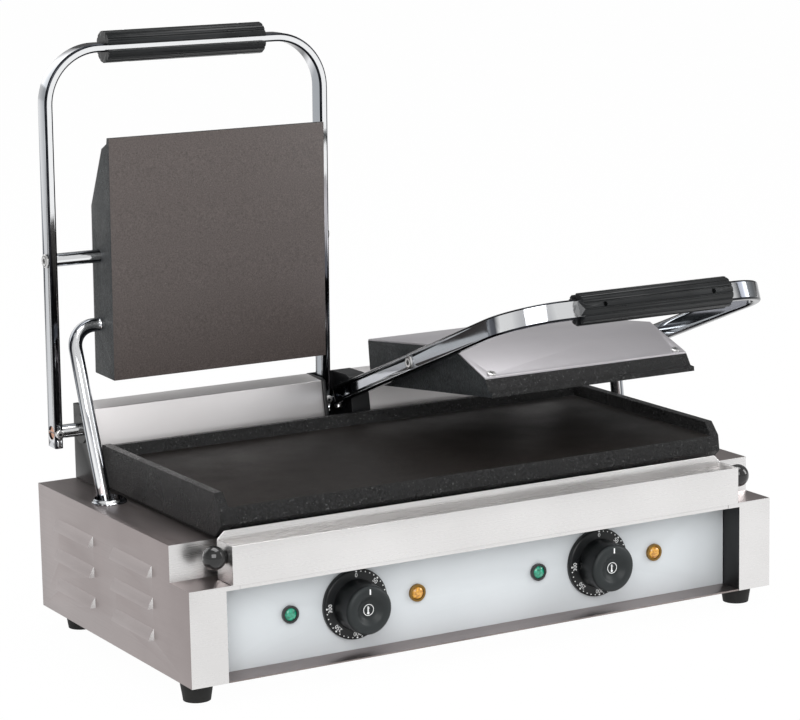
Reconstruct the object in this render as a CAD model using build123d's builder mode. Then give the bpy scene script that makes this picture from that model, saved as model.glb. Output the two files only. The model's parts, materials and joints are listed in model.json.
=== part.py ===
from build123d import *
import math
import os

os.makedirs("parts", exist_ok=True)

# Twin contact grill: one wide cast lower plate on a stepped casing, two hinged lid
# frames that each carry a swinging upper plate, a drip tray and two thermostats.
# Millimetres. X runs across, Y from front to back, Z up. The origin lies on the
# table, under the middle of the grill's outline as it stands with its lids raised.

# Casing
case_width = 570.0
case_depth = 300.0
half_width = case_width / 2
tier_height = 80.0
deck_rise = 30.65
ledge_depth = 35.3
sheet = 1.2
seam = 0.2
strip_width = 45.0
pillar_width = 33.0
panel_setback = 24.0
panel_sheet = 1.5
ledge_lip = 4.0
flange_reach = 12.0
flange_overlap = 6.0
foot_pad_depth = 36.0
pan_edge_height = 12.0
vent_slot_length = 60.0
vent_slot_width = 5.0
vent_pitch = 14.0
vent_count = 5

# Louvres in the casing sides
louvre_length = 74.0
louvre_height = 9.5
louvre_depth = 5.0
louvre_bend_share = 0.6
louvre_pitch = 26.5
louvre_count = 3
louvre_lowest = 24.2
louvre_columns = (105.5, 222.0)

# Feet
foot_height = 17.5
foot_top_diameter = 28.4
foot_bottom_diameter = 22.8
foot_front_inset_x = 17.0
foot_front_inset_y = 27.0
foot_rear_inset_x = 25.0
foot_rear_inset_y = 25.0
foot_recess_depth = 9.0
foot_recess_diameter = 12.0
foot_screw_diameter = 5.0
foot_screw_head_diameter = 9.0
foot_screw_head_height = 4.0
foot_nut_width = 8.0
foot_nut_height = 4.0
foot_thread_past_nut = 1.0

# Lower cooking plate
lower_side_gap = 40.0
lower_width = case_width - 2 * lower_side_gap
lower_nose = 20.0
lower_nose_drop = 13.5
lower_front_top = 22.0
lower_front_bottom = 32.0
lower_back_gap = 50.0
lower_back = case_depth - lower_back_gap
lower_height = 24.6
lower_floor = 12.0
lower_wall = 16.0
side_rim_height = 11.0
side_rim_thickness = 8.0
side_rim_start = 32.0
rear_rim_height = 10.0
rear_rim_foot = 9.0
rear_rim_top = 5.5
gasket_thickness = 2.75
gasket_width = 12.0
gasket_inset = 3.0
deck_opening_inset = 19.0

# Heating under the lower plate
lower_heater_diameter = 8.0
lower_heater_bend = 18.0
heater_leg_bend = 9.0
lower_heater_leg = 24.0
clamp_sheet = 1.5
clamp_stud_diameter = 6.0
lower_mat_thickness = 8.0
leg_hole_diameter = 17.0
heater_passes = 4
clamp_inset = 3.0
mat_inset = 5.0
shield_overlap = 3.0

# Front controls
control_height = 41.0
control_shift = -3.6
knob_offset = 120.0
lamp_offsets = (-180.0, -60.0, 60.0, 180.0)
skirt_diameter = 60.0
skirt_thickness = 5.0
skirt_chamfer = 1.2
skirt_gap = 0.4
knob_base_diameter = 43.0
knob_cap_diameter = 41.0
knob_length = 23.0
knob_dish_diameter = 26.0
knob_dish_depth = 4.5
knob_dish_waist_share = 0.6
knob_dish_fall_share = 0.8
knob_edge = 2.0
spindle_diameter = 6.0
spindle_flat = 1.2
spindle_clearance = 0.06
spindle_hole_diameter = 8.0
spindle_in_knob = 15.0
spindle_in_body = 20.0
thermostat_width = 38.0
thermostat_height = 32.0
thermostat_depth = 30.0
lamp_bezel_diameter = 15.0
lamp_bezel_depth = 2.5
lamp_lens_diameter = 11.0
lamp_lens_depth = 4.0
lamp_body_diameter = 11.6
lamp_body_depth = 24.0
lamp_clearance = 0.2

# Drip tray
tray_side_gap = 37.3
tray_half_width = half_width - tray_side_gap
tray_front = 4.0
tray_back = 24.0
tray_lift = 0.3
tray_wall_height = 32.7
tray_back_height = 39.2
tray_back_chamfer = 6.5
tray_sheet = 1.2
ball_diameter = 20.0
ball_drop = 11.0
ball_setback = 10.0
ball_collar_diameter = 12.0
ball_collar_length = 1.5
ball_screw_diameter = 4.0
ball_screw_head_diameter = 9.0
ball_screw_head_height = 2.2
ball_screw_depth = 8.0

# Rear housings, cheeks and hinges
housing_inner_left = 16.3
housing_inner_right = 29.8
housing_side_gap = 41.0
housing_outer_x = half_width - housing_side_gap
housing_height = 67.35
housing_front_drop = 2.0
housing_back_top_depth = 28.0
housing_foot_depth = 39.0
cheek_outer_thickness = 5.0
cheek_gap = 0.2
cheek_running_gap = 0.4
web_sheet = 1.5
cheek_margin = 3.0
hinge_back_gap = 16.0
hinge_setback = case_depth - hinge_back_gap
hinge_rise = 46.65
shaft_diameter = 12.0
shaft_clearance = 0.05
shaft_recess = 1.2
bush_diameter = 18.0
bush_flange_diameter = 25.0
bush_flange_thickness = 1.0
bush_press = 0.02
spring_wire = 3.2
spring_coils = 9
spring_inner_diameter = 17.0
spring_pitch = 3.1
spring_side_gap = 8.0
spring_offset_x = housing_outer_x - spring_side_gap

# Lid frames
arm_side_gap = 9.4
arm_outer_x = half_width - arm_side_gap
arm_inner_x = 3.2
lid_shift = -1.6
arm_thickness = 7.5
arm_height = 17.0
arm_edge = 2.0
arm_tail = 13.0
frame_reach = 332.0
frame_corner_radius = 47.0
rod_reach = 151.5
rod_diameter = 11.5
rod_clearance = 0.08
rod_screw_diameter = 6.0
rod_screw_depth = 14.0
rod_screw_short = 1.0
rod_screw_head_diameter = 12.0
rod_screw_head_height = 1.2
clamp_bolt_diameter = 5.0
clamp_bolt_head_diameter = 7.6
clamp_bolt_head_height = 3.5
clamp_bolt_seat = 1.0
clamp_bolt_short = 1.0
bolt_clearance = 0.1
grip_diameter = 27.5
grip_length = 150.0
grip_shift = 2.3
grip_centre_x = (arm_outer_x + arm_inner_x) / 2 + grip_shift
grip_gap = 4.6
grip_groove_diameter = 1.6
grip_groove_count = 16
grip_screw_diameter = 4.0
grip_screw_spacing = 110.0
grip_screw_head_diameter = 7.0
grip_screw_head_height = 2.4
grip_screw_sink = 1.0
grip_screw_length = 22.1
grip_fit = 0.05

# Lid angles as the grill stands: arms and plates, above level
left_arm_angle = 88.7
left_plate_angle = 88.4
right_arm_angle = 20.75
right_plate_angle = 6.1

# Upper plates
upper_inner_x = 19.8
upper_side_gap = 57.0
upper_outer_x = half_width - upper_side_gap
upper_front = 105.4
upper_back = 105.8
upper_face_drop = 27.0
upper_rise = 14.0
upper_floor = 10.0
upper_wall = 6.0
upper_front_wall = 19.4
upper_lip = 4.0
upper_lip_rise = 1.0
upper_band_setback = 5.2
cover_sheet = 1.4
cover_inset = 0.4
cover_slope_top = 42.2
cover_slope_bottom = 94.9
cover_slope_drop = 24.6
cover_screw_diameter = 4.0
cover_screw_head_diameter = 8.0
cover_screw_head_height = 1.3
cover_screw_depth = 6.0
cover_screw_inset = 9.0
cover_screw_setback = 4.7
upper_heater_diameter = 6.5
upper_heater_bend = 15.0
upper_heater_leg = 8.0
upper_leg_bend = 5.0
upper_mat_thickness = 3.0
upper_mat_setback = 5.0
heater_margin = 22.0

# Lead conduits
conduit_diameter = 12.0
conduit_back = 61.0
conduit_rise = 3.0
conduit_clearance = 0.1
conduit_bend = 23.0
conduit_side_gap = 31.0
conduit_out_x = half_width - conduit_side_gap
conduit_slant = 13.1
conduit_length = 171.0
conduit_collar_diameter = 16.0
conduit_collar_length = 3.0
ring_side_gap = 22.7
ring_x = half_width - ring_side_gap
ring_back_gap = 100.5
ring_setback = case_depth - ring_back_gap
ring_inner_diameter = 24.0
ring_flange_diameter = 30.0
ring_flange_thickness = 1.2
ring_collar_diameter = 27.6
ring_height = 3.6
ring_edge = 1.0
ring_neck_wall = 0.8
ring_fit = 0.1
ring_aim = 1.2

# Fixings and connections at the back
case_screw_diameter = 4.0
case_screw_head_diameter = 8.0
case_screw_head_height = 2.4
case_screw_length = 9.0
case_screw_heights = (24.0, 58.0, 94.0)
gland_side_gap = 95.0
gland_x = gland_side_gap - half_width
gland_height = 34.0
gland_thread_diameter = 16.0
gland_hex_width = 22.0
gland_hex_length = 6.0
gland_cap_diameter = 18.0
gland_cap_taper = 8.0
gland_reach = 18.0
gland_inside = 12.0
gland_bore = 8.0
terminal_width = 62.0
terminal_depth = 22.0
terminal_height = 18.0
terminal_pole_diameter = 7.0
terminal_pole_depth = 8.0
terminal_pole_count = 5

# Places that follow from the sizes
strip_x = half_width - strip_width
pillar_x = half_width - pillar_width
grip_radius = grip_diameter / 2
reach_forward = frame_reach * math.cos(math.radians(right_arm_angle)) + grip_radius
front_edge = hinge_setback - reach_forward
back_edge = case_depth + gland_reach
front_y = -(front_edge + back_edge) / 2
case_z = foot_height
ledge_z = case_z + tier_height
deck_z = ledge_z + deck_rise
panel_y = front_y + panel_setback
apron_y = front_y + ledge_depth
back_y = front_y + case_depth
control_z = case_z + control_height
seat_z = deck_z + gasket_thickness
cook_z = seat_z + lower_height
hinge_y = front_y + hinge_setback
hinge_z = deck_z + hinge_rise
outer_arm_mid = arm_outer_x - arm_thickness / 2
inner_arm_mid = arm_inner_x + arm_thickness / 2
knob_places = [(control_shift - knob_offset, control_z), (control_shift + knob_offset, control_z)]
lamp_places = [(control_shift + offset, control_z) for offset in lamp_offsets]
ring_y = front_y + ring_setback
aim_z = deck_z + ring_aim


def slab(x0, x1, y0, y1, z0, z1, mode=Mode.ADD):
    with Locations(((x0 + x1) / 2, (y0 + y1) / 2, (z0 + z1) / 2)):
        Box(abs(x1 - x0), abs(y1 - y0), abs(z1 - z0), mode=mode)


def facing_front(y):
    return Plane(origin=(0, y, 0), x_dir=(1, 0, 0), z_dir=(0, -1, 0))


def tilted(x, y, z, angle):
    turn = math.radians(angle)
    return Plane(origin=(x, y, z), x_dir=(1, 0, 0), z_dir=(0, math.sin(turn), math.cos(turn)))


def place(piece, plane, name):
    with BuildPart() as placed:
        with Locations(plane.location):
            add(piece.part)
    placed.part.label = name
    export_step(placed.part, f"parts/{name}.step")


def side_profile(inset, bottom):
    top = deck_z - inset
    step = ledge_z - inset
    front = front_y + inset
    return [
        (front, bottom),
        (front, step),
        (apron_y + inset, step),
        (apron_y + inset, top),
        (back_y - inset, top),
        (back_y - inset, bottom),
    ]


# Side boxes of the casing: louvred side, front pillar, top strip and foot pads
def side_case(side, name):
    with BuildPart() as case:
        with BuildSketch(Plane.YZ.offset(side * strip_x)):
            Polygon(*side_profile(0, case_z))
        extrude(amount=side * strip_width)
        with BuildSketch(Plane.YZ.offset(side * strip_x)):
            Polygon(*side_profile(sheet, case_z))
        extrude(amount=side * (strip_width - sheet), mode=Mode.SUBTRACT)
        slab(side * strip_x, side * pillar_x, front_y, front_y + sheet,
             case_z, ledge_z - ledge_lip, Mode.SUBTRACT)
        slab(side * pillar_x, side * (pillar_x + sheet), front_y, panel_y + panel_sheet,
             case_z, ledge_z)
        for pad_y in (front_y, back_y - foot_pad_depth):
            slab(side * (pillar_x + sheet), side * half_width, pad_y, pad_y + foot_pad_depth,
                 case_z, case_z + sheet)
        slab(side * (strip_x - flange_overlap), side * (strip_x + flange_overlap),
             apron_y + 3 * sheet, back_y - 3 * sheet, deck_z - 2 * sheet, deck_z - sheet)
        slab(side * (strip_x - flange_reach), side * (strip_x + flange_overlap),
             back_y - 2 * sheet, back_y - sheet, case_z + pan_edge_height + sheet,
             deck_z - 3 * sheet)
        for middle in louvre_columns:
            for row in range(louvre_count):
                low = case_z + louvre_lowest + row * louvre_pitch
                add_louvre(side, front_y + middle, low)
        with BuildSketch(Plane.XY.offset(deck_z - sheet)):
            with Locations((side * ring_x, ring_y)):
                Circle(ring_inner_diameter / 2 + ring_neck_wall + ring_fit)
        extrude(amount=sheet, mode=Mode.SUBTRACT)
        with BuildSketch(Plane.XY.offset(case_z)):
            with Locations(*foot_places(side)):
                Circle(foot_screw_diameter / 2 + bolt_clearance)
        extrude(amount=sheet, mode=Mode.SUBTRACT)
        with BuildSketch(facing_front(back_y - sheet)):
            with Locations(*[(side * screw_x(), case_z + height) for height in case_screw_heights]):
                Circle(case_screw_diameter / 2 + bolt_clearance)
        extrude(amount=sheet, mode=Mode.SUBTRACT)
    case.part.label = name
    export_step(case.part, f"parts/{name}.step")


def add_louvre(side, middle_y, low):
    wall_x = side * half_width
    start = middle_y - louvre_length / 2
    inner_length = louvre_length - 2 * sheet
    bend_out = louvre_depth * louvre_bend_share
    bend_up = louvre_height * louvre_bend_share
    with BuildSketch(facing_front(start)) as hood:
        Polygon(
            (wall_x - side * sheet, low),
            (wall_x + side * louvre_depth, low),
            (wall_x + side * bend_out, low + bend_up),
            (wall_x, low + louvre_height),
            (wall_x - side * sheet, low + louvre_height),
        )
    extrude(hood.sketch, amount=-louvre_length)
    with BuildSketch(facing_front(start + sheet)) as hollow:
        Polygon(
            (wall_x - 2 * side * sheet, low),
            (wall_x + side * (louvre_depth - sheet), low),
            (wall_x + side * (bend_out - sheet), low + bend_up - sheet / 2),
            (wall_x - side * sheet, low + louvre_height - sheet),
            (wall_x - 2 * side * sheet, low + louvre_height - sheet),
        )
    extrude(hollow.sketch, amount=-inner_length, mode=Mode.SUBTRACT)


def foot_places(side):
    front = (side * (half_width - foot_front_inset_x), front_y + foot_front_inset_y)
    rear = (side * (half_width - foot_rear_inset_x), back_y - foot_rear_inset_y)
    return [front, rear]


def screw_x():
    return strip_x - flange_reach / 2


side_case(-1, "side_case_left")
side_case(1, "side_case_right")

# Base pan between the side boxes, with vent slots under the heaters
pan_half = pillar_x - 2 * seam
with BuildPart() as base_pan:
    slab(-pan_half, pan_half, front_y, back_y - sheet - seam, case_z, case_z + sheet)
    for side in (-1, 1):
        slab(side * (pan_half - sheet), side * pan_half, panel_y + panel_sheet + seam,
             back_y - 3 * sheet, case_z, case_z + pan_edge_height)
    with BuildSketch(Plane.XY.offset(case_z)):
        for side in (-1, 1):
            with Locations((side * knob_offset, front_y + case_depth / 2)):
                with GridLocations(0, vent_pitch, 1, vent_count):
                    SlotOverall(vent_slot_length, vent_slot_width)
    extrude(amount=sheet, mode=Mode.SUBTRACT)
base_pan.part.label = "base_pan"
export_step(base_pan.part, "parts/base_pan.step")

# Front panel behind the pillars, pierced for the spindles and lamps
panel_bottom = case_z + sheet
panel_top = ledge_z - sheet
with BuildPart() as front_panel:
    slab(-pan_half, pan_half, panel_y, panel_y + panel_sheet, panel_bottom, panel_top)
    with BuildSketch(facing_front(panel_y)):
        with Locations(*knob_places):
            Circle(spindle_hole_diameter / 2)
        with Locations(*lamp_places):
            Circle(lamp_body_diameter / 2 + lamp_clearance)
    extrude(amount=-panel_sheet, mode=Mode.SUBTRACT)
front_panel.part.label = "front_panel"
export_step(front_panel.part, "parts/front_panel.step")

# Front ledge that carries the drip tray, with a folded lip
ledge_half = strip_x - seam
with BuildPart() as front_ledge:
    slab(-ledge_half, ledge_half, front_y, apron_y + sheet, ledge_z - sheet, ledge_z)
    slab(-ledge_half, ledge_half, front_y, front_y + sheet, ledge_z - ledge_lip, ledge_z - sheet)
front_ledge.part.label = "front_ledge"
export_step(front_ledge.part, "parts/front_ledge.step")

# Deck under the lower plate, with its front apron and the heater opening
lower_half = lower_width / 2
opening_half = lower_half - deck_opening_inset
opening_front = front_y + lower_front_bottom + deck_opening_inset
opening_back = front_y + lower_back - deck_opening_inset
with BuildPart() as deck_plate:
    slab(-ledge_half, ledge_half, apron_y, back_y - sheet - seam, deck_z - sheet, deck_z)
    slab(-ledge_half, ledge_half, apron_y, apron_y + sheet, ledge_z, deck_z - sheet)
    slab(-opening_half, opening_half, opening_front, opening_back, deck_z - sheet, deck_z,
         Mode.SUBTRACT)
deck_plate.part.label = "deck_plate"
export_step(deck_plate.part, "parts/deck_plate.step")

# Back panel with vents and the hole for the lead's gland
with BuildPart() as back_panel:
    slab(-ledge_half, ledge_half, back_y - sheet, back_y, case_z, deck_z)
    with BuildSketch(facing_front(back_y)):
        with Locations((0, case_z + (tier_height + deck_rise) / 2)):
            with GridLocations(vent_slot_length + vent_pitch, vent_pitch, vent_count, vent_count):
                SlotOverall(vent_slot_length, vent_slot_width)
    extrude(amount=sheet, mode=Mode.SUBTRACT)
    with BuildSketch(facing_front(back_y)):
        with Locations((gland_x, case_z + gland_height)):
            Circle(gland_thread_diameter / 2 + bolt_clearance)
        for side in (-1, 1):
            with Locations(*[(side * screw_x(), case_z + height) for height in case_screw_heights]):
                Circle(case_screw_diameter / 2 + bolt_clearance)
    extrude(amount=sheet, mode=Mode.SUBTRACT)
back_panel.part.label = "back_panel"
export_step(back_panel.part, "parts/back_panel.step")

# Lower cooking plate: one casting with side rims, a low rear rim and a nosed front
with BuildPart() as lower_plate:
    plate_back = front_y + lower_back
    nose_z = cook_z - lower_nose_drop
    with BuildSketch(Plane.YZ.offset(-lower_half)):
        Polygon(
            (front_y + lower_front_bottom, seat_z),
            (front_y + lower_nose, nose_z),
            (front_y + lower_front_top, cook_z),
            (plate_back, cook_z),
            (plate_back, seat_z),
        )
    extrude(amount=lower_width)
    for side in (-1, 1):
        with BuildSketch(Plane.YZ.offset(side * lower_half)):
            Polygon(
                (front_y + lower_front_top, cook_z),
                (front_y + side_rim_start, cook_z + side_rim_height),
                (plate_back, cook_z + side_rim_height),
                (plate_back, cook_z),
            )
        extrude(amount=-side * side_rim_thickness)
    with BuildSketch(Plane.YZ.offset(-lower_half)):
        Polygon(
            (plate_back - rear_rim_foot, cook_z),
            (plate_back - rear_rim_top, cook_z + rear_rim_height),
            (plate_back, cook_z + rear_rim_height),
            (plate_back, cook_z),
        )
    extrude(amount=lower_width)
    slab(-lower_half + lower_wall, lower_half - lower_wall,
         front_y + lower_front_bottom + lower_wall, plate_back - lower_wall,
         seat_z, cook_z - lower_floor, Mode.SUBTRACT)
lower_plate.part.label = "lower_plate"
export_step(lower_plate.part, "parts/lower_plate.step")

# Gasket ring between the deck and the lower plate
gasket_half = lower_half - gasket_inset
gasket_front = apron_y + gasket_inset
gasket_back = front_y + lower_back - gasket_inset
with BuildPart() as plate_gasket:
    slab(-gasket_half, gasket_half, gasket_front, gasket_back, deck_z, seat_z)
    slab(-gasket_half + gasket_width, gasket_half - gasket_width,
         gasket_front + gasket_width, gasket_back - gasket_width, deck_z, seat_z, Mode.SUBTRACT)
plate_gasket.part.label = "plate_gasket"
export_step(plate_gasket.part, "parts/plate_gasket.step")


# Tubular heating elements laid in bends, with their ends turned to the terminals
def heater_route(near_x, far_x, front, back, leg, passes):
    rows = [back + (front - back) * index / (passes - 1) for index in range(passes)]
    ends = [near_x, far_x]
    corners = [(near_x, rows[0], leg)]
    for index, row in enumerate(rows):
        corners.append((ends[index % 2], row, 0))
        corners.append((ends[(index + 1) % 2], row, 0))
    corners.append((ends[passes % 2], rows[-1], leg))
    return corners


def heater_radii(corner_count, leg_bend, bend):
    return [leg_bend] + [bend] * (corner_count - 4) + [leg_bend]


def heater_tube(corners, radii, diameter):
    with BuildPart() as tube:
        with BuildLine() as route:
            FilletPolyline(*corners, radius=radii)
        with BuildSketch(Plane(origin=route.line @ 0, z_dir=route.line % 0)):
            Circle(diameter / 2)
        sweep()
    return tube


cavity_half = lower_half - lower_wall
cavity_front = front_y + lower_front_bottom + lower_wall
cavity_back = front_y + lower_back - lower_wall
lower_heater_z = cook_z - lower_floor - lower_heater_diameter / 2


def lower_heater_route(side):
    return heater_route(
        side * heater_margin, side * (cavity_half - heater_margin / 2),
        cavity_front + heater_margin, cavity_back - heater_margin,
        -lower_heater_leg, heater_passes,
    )


def lower_leg_places():
    routes = [lower_heater_route(side) for side in (-1, 1)]
    return [end[:2] for route in routes for end in (route[0], route[-1])]


with BuildPart() as lower_heaters:
    for side in (-1, 1):
        lower_route = lower_heater_route(side)
        heater = heater_tube(
            lower_route,
            heater_radii(len(lower_route), heater_leg_bend, lower_heater_bend),
            lower_heater_diameter,
        )
        with Locations((0, 0, lower_heater_z)):
            add(heater.part)
lower_heaters.part.label = "lower_heaters"
export_step(lower_heaters.part, "parts/lower_heaters.step")

# Clamp plate under the elements, hung from the casting on short studs
clamp_top = lower_heater_z - lower_heater_diameter / 2
with BuildPart() as heater_clamp:
    slab(-cavity_half + clamp_inset, cavity_half - clamp_inset,
         cavity_front + clamp_inset, cavity_back - clamp_inset,
         clamp_top - clamp_sheet, clamp_top)
    with BuildSketch(Plane.XY.offset(clamp_top)):
        for x in (-1, 0, 1):
            for y in (cavity_front + heater_margin / 2, cavity_back - heater_margin / 2):
                with Locations((x * (cavity_half - heater_margin / 2), y)):
                    Circle(clamp_stud_diameter / 2)
    extrude(amount=lower_heater_diameter)
    with BuildSketch(Plane.XY.offset(clamp_top - clamp_sheet)):
        with Locations(*lower_leg_places()):
            Circle(leg_hole_diameter / 2)
    extrude(amount=clamp_sheet, mode=Mode.SUBTRACT)
heater_clamp.part.label = "heater_clamp"
export_step(heater_clamp.part, "parts/heater_clamp.step")

# Insulation mat under the clamp plate
mat_top = clamp_top - clamp_sheet
with BuildPart() as lower_insulation:
    slab(-opening_half + mat_inset, opening_half - mat_inset,
         opening_front + mat_inset, opening_back - mat_inset,
         mat_top - lower_mat_thickness, mat_top)
    with BuildSketch(Plane.XY.offset(mat_top - lower_mat_thickness)):
        with Locations(*lower_leg_places()):
            Circle(leg_hole_diameter / 2)
    extrude(amount=lower_mat_thickness, mode=Mode.SUBTRACT)
lower_insulation.part.label = "lower_insulation"
export_step(lower_insulation.part, "parts/lower_insulation.step")

# Heat shield pan that carries the mat and closes the deck opening from below
shield_top = deck_z - sheet
shield_bottom = mat_top - lower_mat_thickness - sheet
with BuildPart() as heat_shield:
    slab(-opening_half - shield_overlap, opening_half + shield_overlap,
         opening_front - shield_overlap, opening_back + shield_overlap, shield_bottom, shield_top)
    slab(-opening_half - shield_overlap + sheet, opening_half + shield_overlap - sheet,
         opening_front - shield_overlap + sheet, opening_back + shield_overlap - sheet,
         shield_bottom + sheet, shield_top, Mode.SUBTRACT)
    with BuildSketch(Plane.XY.offset(shield_bottom)):
        with Locations(*lower_leg_places()):
            Circle(leg_hole_diameter / 2)
    extrude(amount=sheet, mode=Mode.SUBTRACT)
heat_shield.part.label = "heat_shield"
export_step(heat_shield.part, "parts/heat_shield.step")

# Thermostat bodies behind the front panel
thermostat_y = panel_y + panel_sheet
with BuildPart() as thermostat_bodies:
    for x, z in knob_places:
        slab(x - thermostat_width / 2, x + thermostat_width / 2,
             thermostat_y, thermostat_y + thermostat_depth,
             z - thermostat_height / 2, z + thermostat_height / 2)
    with BuildSketch(facing_front(thermostat_y + spindle_in_body + sheet)):
        with Locations(*knob_places):
            Circle(spindle_diameter / 2 + spindle_clearance)
    extrude(amount=spindle_in_body + sheet, mode=Mode.SUBTRACT)
thermostat_bodies.part.label = "thermostat_bodies"
export_step(thermostat_bodies.part, "parts/thermostat_bodies.step")

# Fixed dial skirts around the spindles
with BuildPart() as dial_skirts:
    with BuildSketch(facing_front(panel_y)):
        with Locations(*knob_places):
            Circle(skirt_diameter / 2)
            Circle(spindle_hole_diameter / 2, mode=Mode.SUBTRACT)
    extrude(amount=skirt_thickness)
    rims = dial_skirts.edges().filter_by(GeomType.CIRCLE).group_by(Axis.Y)[0]
    chamfer(rims.group_by(SortBy.RADIUS)[-1], skirt_chamfer)
dial_skirts.part.label = "dial_skirts"
export_step(dial_skirts.part, "parts/dial_skirts.step")


# Rotating knobs with a dished cap, and the spindles that they turn
knob_back = panel_y - skirt_thickness - skirt_gap
knob_front = knob_back - knob_length


def knob(x, name):
    with BuildPart() as turned:
        with BuildSketch(Plane(origin=(x, 0, control_z), x_dir=(1, 0, 0))):
            with BuildLine():
                dish = knob_dish_diameter / 2
                cap = knob_cap_diameter / 2
                Line((0, knob_back), (knob_base_diameter / 2, knob_back))
                Line((knob_base_diameter / 2, knob_back), (cap, knob_front + knob_edge))
                Line((cap, knob_front + knob_edge), (cap - knob_edge, knob_front))
                Line((cap - knob_edge, knob_front), (dish, knob_front))
                waist = dish * knob_dish_waist_share
                fall = knob_dish_depth * knob_dish_fall_share
                Spline((dish, knob_front), (waist, knob_front + fall),
                       (0, knob_front + knob_dish_depth),
                       tangents=[(-1, knob_dish_waist_share), (-1, 0)])
                Line((0, knob_front + knob_dish_depth), (0, knob_back))
            make_face()
        revolve(axis=Axis((x, 0, control_z), (0, 1, 0)))
        with BuildSketch(facing_front(knob_back)):
            with Locations((x, control_z)):
                spindle_section(spindle_clearance)
        extrude(amount=spindle_in_knob + spindle_clearance, mode=Mode.SUBTRACT)
    turned.part.label = name
    export_step(turned.part, f"parts/{name}.step")


def spindle_section(margin):
    radius = spindle_diameter / 2 + margin
    Circle(radius)
    with Locations((0, radius)):
        Rectangle(2 * radius, 2 * spindle_flat, mode=Mode.SUBTRACT)


def spindle(x, name):
    with BuildPart() as turned:
        length = spindle_in_knob + skirt_gap + skirt_thickness + panel_sheet + spindle_in_body
        with BuildSketch(facing_front(thermostat_y + spindle_in_body)):
            with Locations((x, control_z)):
                spindle_section(0)
        extrude(amount=length)
    turned.part.label = name
    export_step(turned.part, f"parts/{name}.step")


for label, knob_place in zip(("left", "right"), knob_places):
    knob(knob_place[0], f"knob_{label}")
    spindle(knob_place[0], f"thermostat_shaft_{label}")


# Signal lamps: green and amber lenses in round bezels, with bodies behind the panel
def lamp_rounds(places, diameter, start_y, depth, bore=0.0):
    with BuildSketch(facing_front(start_y)) as rounds:
        with Locations(*places):
            Circle(diameter / 2)
            if bore:
                Circle(bore / 2, mode=Mode.SUBTRACT)
    extrude(rounds.sketch, amount=depth)


green_lamps = lamp_places[0::2]
amber_lamps = lamp_places[1::2]
with BuildPart() as green_lamp_lenses:
    lamp_rounds(green_lamps, lamp_lens_diameter, panel_y, lamp_lens_depth)
green_lamp_lenses.part.label = "green_lamp_lenses"
export_step(green_lamp_lenses.part, "parts/green_lamp_lenses.step")

with BuildPart() as amber_lamp_lenses:
    lamp_rounds(amber_lamps, lamp_lens_diameter, panel_y, lamp_lens_depth)
amber_lamp_lenses.part.label = "amber_lamp_lenses"
export_step(amber_lamp_lenses.part, "parts/amber_lamp_lenses.step")

with BuildPart() as lamp_bezels:
    lamp_rounds(lamp_places, lamp_bezel_diameter, panel_y, lamp_bezel_depth,
                lamp_lens_diameter + lamp_clearance)
lamp_bezels.part.label = "lamp_bezels"
export_step(lamp_bezels.part, "parts/lamp_bezels.step")

with BuildPart() as lamp_bodies:
    lamp_rounds(lamp_places, lamp_body_diameter, panel_y + lamp_body_depth,
                lamp_body_depth)
lamp_bodies.part.label = "lamp_bodies"
export_step(lamp_bodies.part, "parts/lamp_bodies.step")

# Rubber feet, recessed for the heads of the screws that hold them
with BuildPart() as rubber_feet:
    for side in (-1, 1):
        for x, y in foot_places(side):
            with Locations((x, y, case_z - foot_height / 2)):
                Cone(foot_bottom_diameter / 2, foot_top_diameter / 2, foot_height)
                Cylinder(foot_screw_diameter / 2 + bolt_clearance, foot_height, mode=Mode.SUBTRACT)
            with Locations((x, y, case_z - foot_height + foot_recess_depth / 2)):
                Cylinder(foot_recess_diameter / 2, foot_recess_depth, mode=Mode.SUBTRACT)
rubber_feet.part.label = "rubber_feet"
export_step(rubber_feet.part, "parts/rubber_feet.step")

# Foot screws with their nuts inside the casing
screw_seat = case_z - foot_height + foot_recess_depth
screw_tip = case_z + sheet + foot_nut_height + foot_thread_past_nut
with BuildPart() as foot_screws:
    for side in (-1, 1):
        for x, y in foot_places(side):
            with Locations((x, y, screw_seat - foot_screw_head_height / 2)):
                Cylinder(foot_screw_head_diameter / 2, foot_screw_head_height)
            with Locations((x, y, (screw_seat + screw_tip) / 2)):
                Cylinder(foot_screw_diameter / 2, screw_tip - screw_seat)
    with BuildSketch(Plane.XY.offset(case_z + sheet)):
        with Locations(*(foot_places(-1) + foot_places(1))):
            RegularPolygon(foot_nut_width / 2, 6, major_radius=False)
            Circle(foot_screw_diameter / 2 + bolt_clearance, mode=Mode.SUBTRACT)
    extrude(amount=foot_nut_height)
foot_screws.part.label = "foot_screws"
export_step(foot_screws.part, "parts/foot_screws.step")

# Screws that hold the back panel
with BuildPart() as case_screws:
    places = [
        (side * screw_x(), case_z + height)
        for side in (-1, 1)
        for height in case_screw_heights
    ]
    with BuildSketch(facing_front(back_y)):
        with Locations(*places):
            Circle(case_screw_head_diameter / 2)
    extrude(amount=-case_screw_head_height)
    with BuildSketch(facing_front(back_y)):
        with Locations(*places):
            Circle(case_screw_diameter / 2)
    extrude(amount=case_screw_length)
case_screws.part.label = "case_screws"
export_step(case_screws.part, "parts/case_screws.step")

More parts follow.
